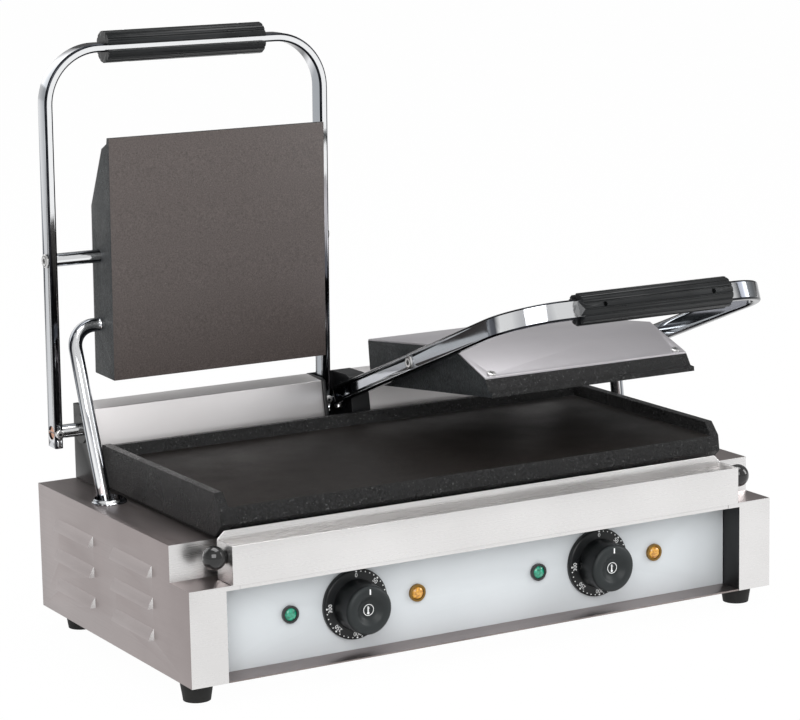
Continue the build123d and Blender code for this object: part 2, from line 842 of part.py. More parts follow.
# Gland where a mains lead enters the back
with BuildPart() as cable_gland:
    gland_centre = (gland_x, case_z + gland_height)
    with BuildSketch(facing_front(back_y)):
        with Locations(gland_centre):
            RegularPolygon(gland_hex_width / 2, 6, major_radius=False)
    extrude(amount=-gland_hex_length)
    with BuildSketch(facing_front(back_y + gland_hex_length)):
        with Locations(gland_centre):
            Circle(gland_cap_diameter / 2)
    extrude(amount=-(gland_reach - gland_hex_length), taper=gland_cap_taper)
    with BuildSketch(facing_front(back_y)):
        with Locations(gland_centre):
            Circle(gland_thread_diameter / 2)
    extrude(amount=gland_inside)
    with BuildSketch(facing_front(back_y + gland_reach)):
        with Locations(gland_centre):
            Circle(gland_bore / 2)
    extrude(amount=gland_reach + gland_inside, mode=Mode.SUBTRACT)
cable_gland.part.label = "cable_gland"
export_step(cable_gland.part, "parts/cable_gland.step")

# Terminal block on the base pan, near the gland
with BuildPart() as terminal_block:
    terminal_y = back_y - case_screw_length - terminal_depth
    slab(gland_x - terminal_width / 2, gland_x + terminal_width / 2,
         terminal_y - terminal_depth, terminal_y, case_z + sheet, case_z + sheet + terminal_height)
    with BuildSketch(Plane.XY.offset(case_z + sheet + terminal_height)):
        with Locations((gland_x, terminal_y - terminal_depth / 2)):
            with GridLocations(terminal_width / terminal_pole_count, 0, terminal_pole_count, 1):
                Circle(terminal_pole_diameter / 2)
    extrude(amount=-terminal_pole_depth, mode=Mode.SUBTRACT)
terminal_block.part.label = "terminal_block"
export_step(terminal_block.part, "parts/terminal_block.step")


# Rear housings that cover the hinge shafts
def housing_profile(inset):
    top = deck_z + housing_height - inset
    lead = deck_z + housing_height - housing_front_drop - inset
    return [
        (back_y - housing_foot_depth + inset, deck_z),
        (back_y - housing_back_top_depth + inset, lead),
        (back_y - inset, top),
        (back_y - inset, deck_z),
    ]


def rear_housing(side, inner_x, name):
    width = housing_outer_x - inner_x
    with BuildPart() as housing:
        with BuildSketch(Plane.YZ.offset(side * inner_x)):
            Polygon(*housing_profile(0))
            Polygon(*housing_profile(sheet), mode=Mode.SUBTRACT)
        extrude(amount=side * width)
    housing.part.label = name
    export_step(housing.part, f"parts/{name}.step")


rear_housing(-1, housing_inner_left, "rear_housing_left")
rear_housing(1, housing_inner_right, "rear_housing_right")

# Black cheeks at the ends of the housings, which carry the hinge shafts
outer_cheek_x = housing_outer_x + cheek_gap
inner_cheek_room = arm_inner_x + arm_thickness + bush_flange_thickness + cheek_running_gap
cheek_bore = bush_diameter / 2 + bush_press
cheek_ends = {-1: housing_inner_left - cheek_gap, 1: housing_inner_right - cheek_gap}


def inner_cheek(side):
    start = inner_cheek_room + side * lid_shift
    return start, cheek_ends[side] - start


with BuildPart() as hinge_cheeks:
    for side in (-1, 1):
        for start, thickness in ((outer_cheek_x, cheek_outer_thickness), inner_cheek(side)):
            with BuildSketch(Plane.YZ.offset(side * start)):
                Polygon(
                    (back_y - housing_foot_depth - cheek_margin, deck_z),
                    (back_y - housing_back_top_depth - cheek_margin,
                     deck_z + housing_height - housing_front_drop),
                    (back_y - housing_back_top_depth + cheek_margin, deck_z + housing_height),
                    (back_y, deck_z + housing_height),
                    (back_y, deck_z),
                )
                with Locations((hinge_y, hinge_z)):
                    Circle(cheek_bore, mode=Mode.SUBTRACT)
            extrude(amount=side * thickness)
hinge_cheeks.part.label = "hinge_cheeks"
export_step(hinge_cheeks.part, "parts/hinge_cheeks.step")

# Black web across the backs of the two inner cheeks
with BuildPart() as hinge_web:
    slab(-cheek_ends[-1], cheek_ends[1], back_y, back_y + web_sheet, deck_z, deck_z + housing_height)
hinge_web.part.label = "hinge_web"
export_step(hinge_web.part, "parts/hinge_web.step")


# Flanged bushes in the cheeks
def bush(side, flange_face, cheek_length, outward):
    bore = shaft_diameter / 2 + shaft_clearance
    direction = side * outward
    for diameter, length in ((bush_flange_diameter, bush_flange_thickness),
                             (bush_diameter, -cheek_length)):
        with BuildSketch(Plane.YZ.offset(side * flange_face)) as section:
            with Locations((hinge_y, hinge_z)):
                Circle(diameter / 2)
                Circle(bore, mode=Mode.SUBTRACT)
        extrude(section.sketch, amount=direction * length)


with BuildPart() as hinge_bushes:
    for side in (-1, 1):
        bush(side, outer_cheek_x + cheek_outer_thickness, cheek_outer_thickness, 1)
        bush(side, *inner_cheek(side), -1)
hinge_bushes.part.label = "hinge_bushes"
export_step(hinge_bushes.part, "parts/hinge_bushes.step")

# Close wound torsion springs around the shafts, one leg against the housing's back
spring_radius = spring_inner_diameter / 2
spring_mid = spring_radius + spring_wire / 2
spring_leg = back_y - sheet - hinge_y
first_turn_x = spring_offset_x - spring_wire / 2
with BuildPart() as torsion_springs:
    for side in (-1, 1):
        with BuildSketch(Plane(origin=(0, hinge_y, hinge_z), x_dir=(1, 0, 0))):
            for coil in range(spring_coils):
                with Locations((side * (first_turn_x - spring_pitch * coil), spring_mid)):
                    Circle(spring_wire / 2)
        revolve(axis=Axis((0, hinge_y, hinge_z), (1, 0, 0)))
        with BuildSketch(facing_front(hinge_y)):
            with Locations((side * first_turn_x, hinge_z + spring_mid)):
                Circle(spring_wire / 2)
        extrude(amount=-spring_leg)
torsion_springs.part.label = "torsion_springs"
export_step(torsion_springs.part, "parts/torsion_springs.step")

# Chrome rings in the casing top that the lead conduits slide through
with BuildPart() as conduit_rings:
    ring_bore = ring_inner_diameter / 2
    for side in (-1, 1):
        with BuildSketch(Plane(origin=(side * ring_x, ring_y, deck_z), x_dir=(1, 0, 0), z_dir=(0, -1, 0))):
            with BuildLine():
                neck = ring_bore + ring_neck_wall
                collar = ring_collar_diameter / 2
                flange = ring_flange_diameter / 2
                Polyline((ring_bore, -sheet), (neck, -sheet), (neck, 0), (flange, 0),
                         (flange, ring_flange_thickness), (collar, ring_flange_thickness),
                         (collar, ring_height - ring_edge), (collar - ring_edge, ring_height),
                         (ring_bore, ring_height), (ring_bore, -sheet))
            make_face()
        revolve(axis=Axis((side * ring_x, ring_y, deck_z), (0, 0, 1)))
conduit_rings.part.label = "conduit_rings"
export_step(conduit_rings.part, "parts/conduit_rings.step")

# Drip tray on the ledge: low front and ends, taller back with cut corners
tray_z = ledge_z + tray_lift
tray_y0 = front_y - tray_front
tray_y1 = front_y + tray_back
with BuildPart() as drip_tray:
    slab(-tray_half_width, tray_half_width, tray_y0, tray_y1, tray_z, tray_z + tray_wall_height)
    with BuildSketch(facing_front(tray_y1)):
        Polygon(
            (-tray_half_width, tray_z + tray_wall_height),
            (-tray_half_width + tray_back_chamfer, tray_z + tray_back_height),
            (tray_half_width - tray_back_chamfer, tray_z + tray_back_height),
            (tray_half_width, tray_z + tray_wall_height),
        )
    extrude(amount=tray_sheet)
    slab(-tray_half_width + tray_sheet, tray_half_width - tray_sheet,
         tray_y0 + tray_sheet, tray_y1 - tray_sheet,
         tray_z + tray_sheet, tray_z + tray_wall_height, Mode.SUBTRACT)
    with BuildSketch(Plane.YZ.offset(-tray_half_width)):
        with Locations((front_y + ball_setback, tray_z + tray_wall_height - ball_drop)):
            Circle(ball_screw_diameter / 2 + bolt_clearance)
    extrude(amount=2 * tray_half_width, mode=Mode.SUBTRACT)
drip_tray.part.label = "drip_tray"
export_step(drip_tray.part, "parts/drip_tray.step")

# Ball knobs on the tray's ends, and the screws that hold them from inside
ball_y = front_y + ball_setback
ball_z = tray_z + tray_wall_height - ball_drop
ball_radius = ball_diameter / 2
collar_radius = ball_collar_diameter / 2
ball_reach = ball_collar_length + math.sqrt(ball_radius**2 - collar_radius**2)
with BuildPart() as tray_knobs:
    for side in (-1, 1):
        seat = Plane(origin=(side * tray_half_width, ball_y, ball_z), x_dir=(side, 0, 0))
        with BuildSketch(seat):
            with BuildLine():
                bore = ball_screw_diameter / 2 + bolt_clearance
                Polyline((ball_screw_depth, 0), (ball_screw_depth, bore), (0, bore),
                         (0, collar_radius), (ball_collar_length, collar_radius))
                CenterArc((ball_reach, 0), ball_radius,
                          180 - math.degrees(math.asin(collar_radius / ball_radius)),
                          -180 + math.degrees(math.asin(collar_radius / ball_radius)))
                Line((ball_reach + ball_radius, 0), (ball_screw_depth, 0))
            make_face()
        revolve(axis=Axis(seat.origin, (1, 0, 0)))
tray_knobs.part.label = "tray_knobs"
export_step(tray_knobs.part, "parts/tray_knobs.step")

with BuildPart() as tray_screws:
    for side in (-1, 1):
        inner_face = side * (tray_half_width - tray_sheet)
        with BuildSketch(Plane.YZ.offset(inner_face)):
            with Locations((ball_y, ball_z)):
                Circle(ball_screw_head_diameter / 2)
        extrude(amount=-side * ball_screw_head_height)
        with BuildSketch(Plane.YZ.offset(inner_face)):
            with Locations((ball_y, ball_z)):
                Circle(ball_screw_diameter / 2)
        extrude(amount=side * (tray_sheet + ball_screw_depth - bolt_clearance))
tray_screws.part.label = "tray_screws"
export_step(tray_screws.part, "parts/tray_screws.step")


# Lid frame: one flat bar with rounded edges bent into a U, drilled for the shaft, rod and bolts.
# The lid's own frame has the hinge axis at its origin and the arms along -Y.
def lid_frame(side):
    outer = side * outer_arm_mid
    inner = side * inner_arm_mid
    with BuildPart() as frame:
        with BuildLine() as route:
            FilletPolyline((outer, arm_tail), (outer, -frame_reach), (inner, -frame_reach),
                           (inner, arm_tail), radius=frame_corner_radius)
        with BuildSketch(facing_front(arm_tail)):
            with Locations((outer, 0)):
                RectangleRounded(arm_thickness, arm_height, arm_edge)
        sweep()
        with BuildSketch(Plane.YZ):
            Circle(shaft_diameter / 2 + bolt_clearance)
            with Locations((-rod_reach, 0)):
                Circle(rod_screw_diameter / 2 + bolt_clearance)
        extrude(amount=side * arm_outer_x, mode=Mode.SUBTRACT)
        for x in (outer, inner):
            with Locations((x, 0, 0)):
                Cylinder(clamp_bolt_diameter / 2 + bolt_clearance, arm_height, mode=Mode.SUBTRACT)
            with Locations((x, 0, -arm_height / 2 + clamp_bolt_seat / 2)):
                Cylinder(clamp_bolt_head_diameter / 2 + bolt_clearance, clamp_bolt_seat,
                         mode=Mode.SUBTRACT)
        with BuildSketch(facing_front(-frame_reach + arm_thickness)):
            with Locations(*grip_screw_places(side)):
                Circle(grip_screw_diameter / 2 + bolt_clearance)
        extrude(amount=2 * arm_thickness, mode=Mode.SUBTRACT)
    return frame


def grip_screw_places(side):
    half = grip_screw_spacing / 2
    return [(side * grip_centre_x - half, 0), (side * grip_centre_x + half, 0)]


# Hinge shaft, cross drilled for the clamp bolts
def hinge_shaft(side):
    start = arm_inner_x + shaft_recess
    finish = arm_outer_x - shaft_recess
    with BuildPart() as shaft:
        with BuildSketch(Plane.YZ.offset(side * start)):
            Circle(shaft_diameter / 2)
        extrude(amount=side * (finish - start))
        for x in (side * outer_arm_mid, side * inner_arm_mid):
            with Locations((x, 0, 0)):
                Cylinder(clamp_bolt_diameter / 2 + bolt_clearance, arm_height, mode=Mode.SUBTRACT)
    return shaft


# Rod between the arms that the upper plate swings on
def pivot_rod(side):
    start = arm_inner_x + arm_thickness
    finish = arm_outer_x - arm_thickness
    with BuildPart() as rod:
        with BuildSketch(Plane.YZ.offset(side * start)):
            with Locations((-rod_reach, 0)):
                Circle(rod_diameter / 2)
        extrude(amount=side * (finish - start))
        for face, inward in ((start, 1), (finish, -1)):
            with BuildSketch(Plane.YZ.offset(side * face)):
                with Locations((-rod_reach, 0)):
                    Circle(rod_screw_diameter / 2 + bolt_clearance)
            extrude(amount=side * inward * rod_screw_depth, mode=Mode.SUBTRACT)
    return rod


# Ribbed half shells clamped on the two broad faces of the bar
def grip_shells(side):
    middle = Plane(origin=(side * (grip_centre_x - grip_length / 2), -frame_reach, 0),
                   x_dir=(0, 1, 0), z_dir=(side, 0, 0))
    with BuildPart() as shells:
        with BuildSketch(middle):
            Circle(grip_radius)
            with PolarLocations(grip_radius, grip_groove_count, start_angle=180 / grip_groove_count):
                Circle(grip_groove_diameter / 2, mode=Mode.SUBTRACT)
            Rectangle(grip_gap, grip_diameter, mode=Mode.SUBTRACT)
            RectangleRounded(arm_thickness + 2 * grip_fit, arm_height + 2 * grip_fit,
                             arm_edge + grip_fit, mode=Mode.SUBTRACT)
        extrude(amount=grip_length)
        with BuildSketch(facing_front(-frame_reach + grip_radius)):
            with Locations(*grip_screw_places(side)):
                Circle(grip_screw_diameter / 2 + bolt_clearance)
        extrude(amount=grip_diameter, mode=Mode.SUBTRACT)
        with BuildSketch(facing_front(-frame_reach + grip_radius)):
            with Locations(*grip_screw_places(side)):
                Circle(grip_screw_head_diameter / 2 + bolt_clearance)
        extrude(amount=grip_screw_head_height + grip_screw_sink, mode=Mode.SUBTRACT)
    return shells


# Clamp bolts, rod screws and grip screws of one lid
def frame_bolts(side):
    with BuildPart() as bolts:
        for x in (side * outer_arm_mid, side * inner_arm_mid):
            head_top = -arm_height / 2 + clamp_bolt_seat
            with Locations((x, 0, head_top - clamp_bolt_head_height / 2)):
                Cylinder(clamp_bolt_head_diameter / 2, clamp_bolt_head_height)
            tip = arm_height / 2 - clamp_bolt_short
            with Locations((x, 0, (head_top + tip) / 2)):
                Cylinder(clamp_bolt_diameter / 2, tip - head_top)
        for face, outward in ((arm_outer_x, 1), (arm_inner_x, -1)):
            with BuildSketch(Plane.YZ.offset(side * face)):
                with Locations((-rod_reach, 0)):
                    Circle(rod_screw_head_diameter / 2)
            extrude(amount=side * outward * rod_screw_head_height)
            with BuildSketch(Plane.YZ.offset(side * face)):
                with Locations((-rod_reach, 0)):
                    Circle(rod_screw_diameter / 2)
            reach = arm_thickness + rod_screw_depth - rod_screw_short
            extrude(amount=-side * outward * reach)
        seat = -frame_reach + grip_radius - grip_screw_head_height - grip_screw_sink
        with BuildSketch(facing_front(seat)):
            with Locations(*grip_screw_places(side)):
                Circle(grip_screw_head_diameter / 2)
        extrude(amount=-grip_screw_head_height)
        with BuildSketch(facing_front(seat)):
            with Locations(*grip_screw_places(side)):
                Circle(grip_screw_diameter / 2)
        extrude(amount=grip_screw_length)
    return bolts


# Upper plate casting. The plate's own frame has the rod axis at its origin, its
# front along -Y and its cooking face below.
def upper_plate(side):
    face_z = -upper_face_drop
    wall_top = upper_rise - cover_sheet
    slope_low = upper_rise - cover_slope_drop - cover_sheet
    width = upper_outer_x - upper_inner_x
    with BuildPart() as plate:
        with BuildSketch(Plane.YZ.offset(side * upper_inner_x)):
            Polygon(
                (-upper_front, face_z),
                (-upper_front, face_z + upper_lip),
                (-upper_front + upper_band_setback, face_z + upper_lip + upper_lip_rise),
                (-cover_slope_bottom, slope_low),
                (-cover_slope_top, wall_top),
                (upper_back, wall_top),
                (upper_back, face_z),
            )
        extrude(amount=side * width)
        slab(side * (upper_inner_x + upper_wall), side * (upper_outer_x - upper_wall),
             -upper_front + upper_front_wall, upper_back - upper_wall,
             face_z + upper_floor, wall_top, Mode.SUBTRACT)
        with BuildSketch(Plane.YZ.offset(side * upper_inner_x)):
            Circle(rod_diameter / 2 + rod_clearance)
        extrude(amount=side * width, mode=Mode.SUBTRACT)
        with BuildSketch(Plane.YZ.offset(side * upper_outer_x)):
            with Locations((conduit_back, conduit_rise)):
                Circle(conduit_diameter / 2 + conduit_clearance)
        extrude(amount=-side * upper_wall, mode=Mode.SUBTRACT)
        for spot in cover_screw_spots(side):
            with Locations(spot.location):
                Cylinder(cover_screw_diameter / 2 + bolt_clearance,
                         2 * (cover_screw_depth + bolt_clearance), mode=Mode.SUBTRACT)
    return plate


def cover_slope_angle():
    return math.degrees(math.atan2(cover_slope_drop, cover_slope_bottom - cover_slope_top))


def cover_screw_spots(side):
    turn = math.radians(cover_slope_angle())
    run = cover_screw_setback
    slope_y = -cover_slope_bottom + run * math.cos(turn)
    slope_z = upper_rise - cover_slope_drop + run * math.sin(turn)
    spots = []
    for x in (upper_inner_x + cover_screw_inset, upper_outer_x - cover_screw_inset):
        spots.append(Plane(origin=(side * x, slope_y, slope_z), x_dir=(1, 0, 0),
                           z_dir=(0, -math.sin(turn), math.cos(turn))))
    return spots


# Sheet cover on top of the casting, flat at the back and sloping to the front
def plate_cover(side):
    slope_low = upper_rise - cover_slope_drop
    with BuildPart() as cover:
        with BuildSketch(Plane.YZ.offset(side * (upper_inner_x + cover_inset))):
            Polygon(
                (-cover_slope_bottom, slope_low),
                (-cover_slope_top, upper_rise),
                (upper_back, upper_rise),
                (upper_back, upper_rise - cover_sheet),
                (-cover_slope_top, upper_rise - cover_sheet),
                (-cover_slope_bottom, slope_low - cover_sheet),
            )
        extrude(amount=side * (upper_outer_x - upper_inner_x - 2 * cover_inset))
        for spot in cover_screw_spots(side):
            with Locations(spot.location):
                Cylinder(cover_screw_diameter / 2 + bolt_clearance, 4 * cover_sheet,
                         mode=Mode.SUBTRACT)
    return cover


def cover_screws(side):
    with BuildPart() as screws:
        for spot in cover_screw_spots(side):
            with Locations(spot.location):
                Cylinder(cover_screw_head_diameter / 2, cover_screw_head_height,
                         align=(Align.CENTER, Align.CENTER, Align.MIN))
                Cylinder(cover_screw_diameter / 2, cover_screw_depth,
                         align=(Align.CENTER, Align.CENTER, Align.MAX))
    return screws


# Element and insulation mat inside the upper plate
upper_heater_z = -upper_face_drop + upper_floor + upper_heater_diameter / 2


def upper_heater_route(side):
    return heater_route(
        side * (upper_inner_x + heater_margin), side * (upper_outer_x - heater_margin),
        -upper_front + upper_front_wall + heater_margin / 2, upper_back - heater_margin,
        upper_heater_leg, heater_passes,
    )


def upper_heater(side):
    route = upper_heater_route(side)
    bare = heater_tube(
        route, heater_radii(len(route), upper_leg_bend, upper_heater_bend), upper_heater_diameter
    )
    with BuildPart() as heater:
        with Locations((0, 0, upper_heater_z)):
            add(bare.part)
    return heater


def upper_insulation(side):
    route = upper_heater_route(side)
    bottom = upper_heater_z + upper_heater_diameter / 2 + seam
    with BuildPart() as mat:
        slab(side * (upper_inner_x + upper_wall + seam), side * (upper_outer_x - upper_wall - seam),
             -upper_front + upper_front_wall + upper_mat_setback, upper_back - upper_wall - seam,
             bottom, bottom + upper_mat_thickness)
        with BuildSketch(Plane.XY.offset(bottom)):
            with Locations(route[0][:2], route[-1][:2]):
                Circle(leg_hole_diameter / 2)
        extrude(amount=upper_mat_thickness, mode=Mode.SUBTRACT)
    return mat


# Chromed conduit that turns in the plate's side and slides through the ring.
# Its own frame has the swivel axis at its origin and the long run down along -Z.
def conduit(side):
    inside = upper_outer_x - upper_wall - conduit_collar_length
    run_end = conduit_out_x + conduit_slant
    with BuildPart() as tube:
        with BuildLine(Plane.XZ) as route:
            FilletPolyline((side * inside, 0), (side * conduit_out_x, 0),
                           (side * run_end, -conduit_length), radius=conduit_bend)
        with BuildSketch(Plane.YZ.offset(side * inside)):
            Circle(conduit_diameter / 2)
        sweep()
        with BuildSketch(Plane.YZ.offset(side * inside)):
            Circle(conduit_collar_diameter / 2)
        extrude(amount=side * (conduit_collar_length - seam))
    return tube


def build_lid(side, label, arm_angle, plate_angle):
    lid = tilted(lid_shift, hinge_y, hinge_z, arm_angle)
    place(lid_frame(side), lid, f"lid_frame_{label}")
    place(hinge_shaft(side), lid, f"hinge_shaft_{label}")
    place(pivot_rod(side), lid, f"pivot_rod_{label}")
    place(grip_shells(side), lid, f"grip_shells_{label}")
    place(frame_bolts(side), lid, f"frame_bolts_{label}")
    arm = math.radians(arm_angle)
    rod_y = hinge_y - rod_reach * math.cos(arm)
    rod_z = hinge_z + rod_reach * math.sin(arm)
    plate = tilted(0, rod_y, rod_z, plate_angle)
    place(upper_plate(side), plate, f"upper_plate_{label}")
    place(plate_cover(side), plate, f"plate_cover_{label}")
    place(cover_screws(side), plate, f"cover_screws_{label}")
    place(upper_heater(side), plate, f"upper_heater_{label}")
    place(upper_insulation(side), plate, f"upper_insulation_{label}")
    swivel = plate.from_local_coords((0, conduit_back, conduit_rise))
    lean = math.degrees(math.atan2(swivel.Y - ring_y, swivel.Z - aim_z))
    place(conduit(side), tilted(0, swivel.Y, swivel.Z, lean), f"conduit_{label}")


build_lid(-1, "left", left_arm_angle, left_plate_angle)
build_lid(1, "right", right_arm_angle, right_plate_angle)
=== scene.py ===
import json
import math
import bmesh
import bpy
from mathutils import Matrix, Vector


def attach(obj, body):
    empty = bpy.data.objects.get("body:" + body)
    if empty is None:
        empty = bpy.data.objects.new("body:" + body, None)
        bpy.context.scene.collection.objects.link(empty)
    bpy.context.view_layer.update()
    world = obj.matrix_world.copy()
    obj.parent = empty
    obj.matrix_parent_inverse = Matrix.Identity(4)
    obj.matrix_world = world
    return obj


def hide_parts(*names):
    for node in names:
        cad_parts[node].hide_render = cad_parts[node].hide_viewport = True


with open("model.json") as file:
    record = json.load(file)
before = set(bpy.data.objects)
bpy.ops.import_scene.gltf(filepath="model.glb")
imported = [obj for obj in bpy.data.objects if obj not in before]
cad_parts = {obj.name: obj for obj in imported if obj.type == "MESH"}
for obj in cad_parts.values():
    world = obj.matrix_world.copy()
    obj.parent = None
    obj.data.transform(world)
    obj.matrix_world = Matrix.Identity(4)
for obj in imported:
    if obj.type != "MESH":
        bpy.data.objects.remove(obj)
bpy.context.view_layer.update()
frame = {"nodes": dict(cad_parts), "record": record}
nodes = frame["nodes"]
scene = bpy.context.scene

# camera, placed where the photograph was taken from
cameraSet = {
    "spot": (-1.2395, -2.1533, 0.70623),
    "azimuth": 29.727,
    "elevation": 10.817,
    "roll": -1.0327,
    "lens": 130.903,
    "sensor": 36.0,
    "near": 0.05,
    "far": 200,
}


def makeCamera():
    azimuth, elevation, roll = (math.radians(cameraSet[k]) for k in ("azimuth", "elevation", "roll"))
    level = math.cos(elevation)
    ahead = Vector((math.sin(azimuth) * level, math.cos(azimuth) * level, -math.sin(elevation)))
    side = Vector((math.cos(azimuth), -math.sin(azimuth), 0))
    up = side.cross(ahead)
    right = side * math.cos(roll) + up * math.sin(roll)
    top = up * math.cos(roll) - side * math.sin(roll)
    turn = Matrix((right, top, -ahead)).transposed().to_4x4()
    lens = bpy.data.cameras.new("photoCamera")
    lens.lens = cameraSet["lens"]
    lens.sensor_width = cameraSet["sensor"]
    lens.sensor_fit = "HORIZONTAL"
    lens.clip_start = cameraSet["near"]
    lens.clip_end = cameraSet["far"]
    camera = bpy.data.objects.new("photoCamera", lens)
    camera.matrix_world = Matrix.Translation(cameraSet["spot"]) @ turn
    scene.collection.objects.link(camera)
    scene.camera = camera


# node helpers for the finishes
def makeMaterial(name):
    material = bpy.data.materials.new(name)
    material.use_nodes = True
    return material, material.node_tree, material.node_tree.nodes["Principled BSDF"]


def addNode(tree, kind, inputs=None, **settings):
    node = tree.nodes.new(kind)
    for key, value in settings.items():
        setattr(node, key, value)
    for key, value in (inputs or {}).items():
        if isinstance(value, bpy.types.NodeSocket):
            tree.links.new(value, node.inputs[key])
        else:
            node.inputs[key].default_value = value
    return node


def grainNoise(tree, scale, detail=3.0, stretch=(1, 1, 1), rough=0.5):
    place = addNode(tree, "ShaderNodeTexCoord")
    spread = addNode(tree, "ShaderNodeMapping", {"Vector": place.outputs["Object"], "Scale": stretch})
    wanted = {"Vector": spread.outputs[0], "Scale": scale, "Detail": detail, "Roughness": rough}
    return addNode(tree, "ShaderNodeTexNoise", wanted).outputs["Fac"]


# the colour sockets of a Mix node share their names with others, so they go by number
mixSockets = {"share": 0, "low": 6, "high": 7, "out": 2}


def mixColours(tree, share, low, high):
    mix = addNode(tree, "ShaderNodeMix", data_type="RGBA")
    tree.links.new(share, mix.inputs[mixSockets["share"]])
    if isinstance(low, tuple):
        mix.inputs[mixSockets["low"]].default_value = (*low, 1)
    else:
        tree.links.new(low, mix.inputs[mixSockets["low"]])
    mix.inputs[mixSockets["high"]].default_value = (*high, 1)
    return mix.outputs[mixSockets["out"]]


def ramp(tree, factor, low, high, start=0.3, end=0.7):
    # maps a noise value between two colours or two grey levels
    node = addNode(tree, "ShaderNodeMapRange", {"Value": factor, "From Min": start, "From Max": end})
    if isinstance(low, tuple):
        return mixColours(tree, node.outputs[0], low, high)
    node.inputs["To Min"].default_value = low
    node.inputs["To Max"].default_value = high
    return node.outputs[0]


def bumpFrom(tree, height, strength, distance, below=None):
    inputs = {"Height": height, "Strength": strength, "Distance": distance}
    if below:
        inputs["Normal"] = below
    return addNode(tree, "ShaderNodeBump", inputs).outputs[0]


# brushed and satin steel: how dark and how smooth each kind is
steelSet = {
    "case": {"dark": (0.31, 0.272, 0.268), "light": (0.365, 0.322, 0.318), "smooth": 0.3, "rough": 0.4},
    "bright": {"dark": (0.73, 0.72, 0.715), "light": (0.80, 0.79, 0.785), "smooth": 0.26, "rough": 0.31},
    "cover": {"dark": (0.47, 0.455, 0.475), "light": (0.51, 0.495, 0.515), "smooth": 0.44, "rough": 0.5},
    "housing": {"dark": (0.72, 0.70, 0.70), "light": (0.77, 0.75, 0.75), "smooth": 0.42, "rough": 0.48},
    "louvre": {"dark": (0.425, 0.383, 0.379), "light": (0.48, 0.436, 0.432), "smooth": 0.42, "rough": 0.5},
    # sillShade is a darker copy of the case steel, used as painted shade on the pan's sill
    "sillShade": {"dark": (0.22, 0.185, 0.175), "light": (0.30, 0.26, 0.25), "smooth": 0.25, "rough": 0.36},
}
# the brushed grain, long along one axis, over broad faint clouds
brushSet = {
    "across": 1600.0,
    "along": 16.0,
    "grainDetail": 4.0,
    "grainBump": (0.1, 0.00003),
    "cloud": 11.0,
    "cloudDetail": 3.0,
    "cloudBump": (0.08, 0.0004),
}


def satinSteel(name, tone, grainAxis):
    material, tree, shader = makeMaterial(name)
    look = steelSet[tone]
    stretch = [brushSet["across"]] * 3
    stretch["XYZ".index(grainAxis)] = brushSet["along"]
    grain = grainNoise(tree, 1.0, brushSet["grainDetail"], stretch)
    cloud = grainNoise(tree, brushSet["cloud"], brushSet["cloudDetail"])
    shader.inputs["Metallic"].default_value = 1.0
    tree.links.new(ramp(tree, cloud, look["dark"], look["light"]), shader.inputs["Base Color"])
    tree.links.new(ramp(tree, grain, look["smooth"], look["rough"]), shader.inputs["Roughness"])
    fine = bumpFrom(tree, grain, *brushSet["grainBump"])
    tree.links.new(bumpFrom(tree, cloud, *brushSet["cloudBump"], fine), shader.inputs["Normal"])
    return material


# polished chrome: painted reflection bands in its colour, set by how far the surface turns from the eye
chromeSet = {"wipe": 40.0, "detail": 4.0, "blend": 0.5, "smooth": 0.07, "rough": 0.13}
paintedReflectionBands = (
    (0.0, (0.45, 0.46, 0.49)),
    (0.08, (0.86, 0.87, 0.88)),
    (0.19, (0.86, 0.87, 0.88)),
    (0.26, (0.07, 0.075, 0.085)),
    (0.33, (0.09, 0.095, 0.11)),
    (0.42, (0.34, 0.36, 0.385)),
    (0.58, (0.34, 0.36, 0.385)),
    (0.66, (0.80, 0.81, 0.83)),
    (0.74, (0.05, 0.052, 0.06)),
)


def polishedChrome(name):
    # painted reflection: bright where it faces the eye, blue grey to black where it turns away
    material, tree, shader = makeMaterial(name)
    wipe = grainNoise(tree, chromeSet["wipe"], chromeSet["detail"])
    shader.inputs["Metallic"].default_value = 1.0
    facing = addNode(tree, "ShaderNodeLayerWeight", {"Blend": chromeSet["blend"]}).outputs["Facing"]
    reflectionBands = addNode(tree, "ShaderNodeValToRGB", {"Fac": facing})
    stops = reflectionBands.color_ramp.elements
    while len(stops) < len(paintedReflectionBands):
        stops.new(0.5)
    for stop, (spot, tone) in zip(stops, paintedReflectionBands):
        stop.position = spot
        stop.color = (*tone, 1)
    tree.links.new(reflectionBands.outputs[0], shader.inputs["Base Color"])
    tree.links.new(ramp(tree, wipe, chromeSet["smooth"], chromeSet["rough"]), shader.inputs["Roughness"])
    return material


# cast iron, rough on the rims and ground smooth where food lies
# each tone's spark colour is a painted highlight, pale specks standing for glints off the cast bumps
ironSet = {
    "rough": {
        "dark": (0.001, 0.001, 0.001), "light": (0.012, 0.012, 0.0125),
        "spark": (0.11, 0.112, 0.112), "pit": 340.0, "depth": 0.0024,
        "smooth": 0.16, "rough": 0.36, "shine": 0.24,
    },
    "floor": {
        "dark": (0.002, 0.0017, 0.0015), "light": (0.016, 0.013, 0.0115),
        "spark": (0.05, 0.045, 0.04), "pit": 480.0, "depth": 0.0004,
        "smooth": 0.3, "rough": 0.46, "shine": 0.2,
    },
    "face": {
        "dark": (0.042, 0.034, 0.0315), "light": (0.098, 0.081, 0.076),
        "spark": (0.14, 0.12, 0.11), "pit": 760.0, "depth": 0.0003,
        "smooth": 0.3, "rough": 0.42, "shine": 0.45,
    },
    "flank": {
        "dark": (0.004, 0.0048, 0.0054), "light": (0.034, 0.039, 0.042),
        "spark": (0.09, 0.095, 0.1), "pit": 420.0, "depth": 0.001,
        "smooth": 0.34, "rough": 0.6, "shine": 0.25,
    },
}
ironGrain = {
    "pit": {"detail": 6.0, "rough": 0.78, "from": 0.36, "to": 0.64, "strength": 0.8},
    "patch": {"scale": 17.0, "detail": 4.0, "rough": 0.6},
    "spark": {"finer": 1.6, "detail": 2.0, "rough": 0.5, "share": 0.85, "from": 0.64, "to": 0.74},
}


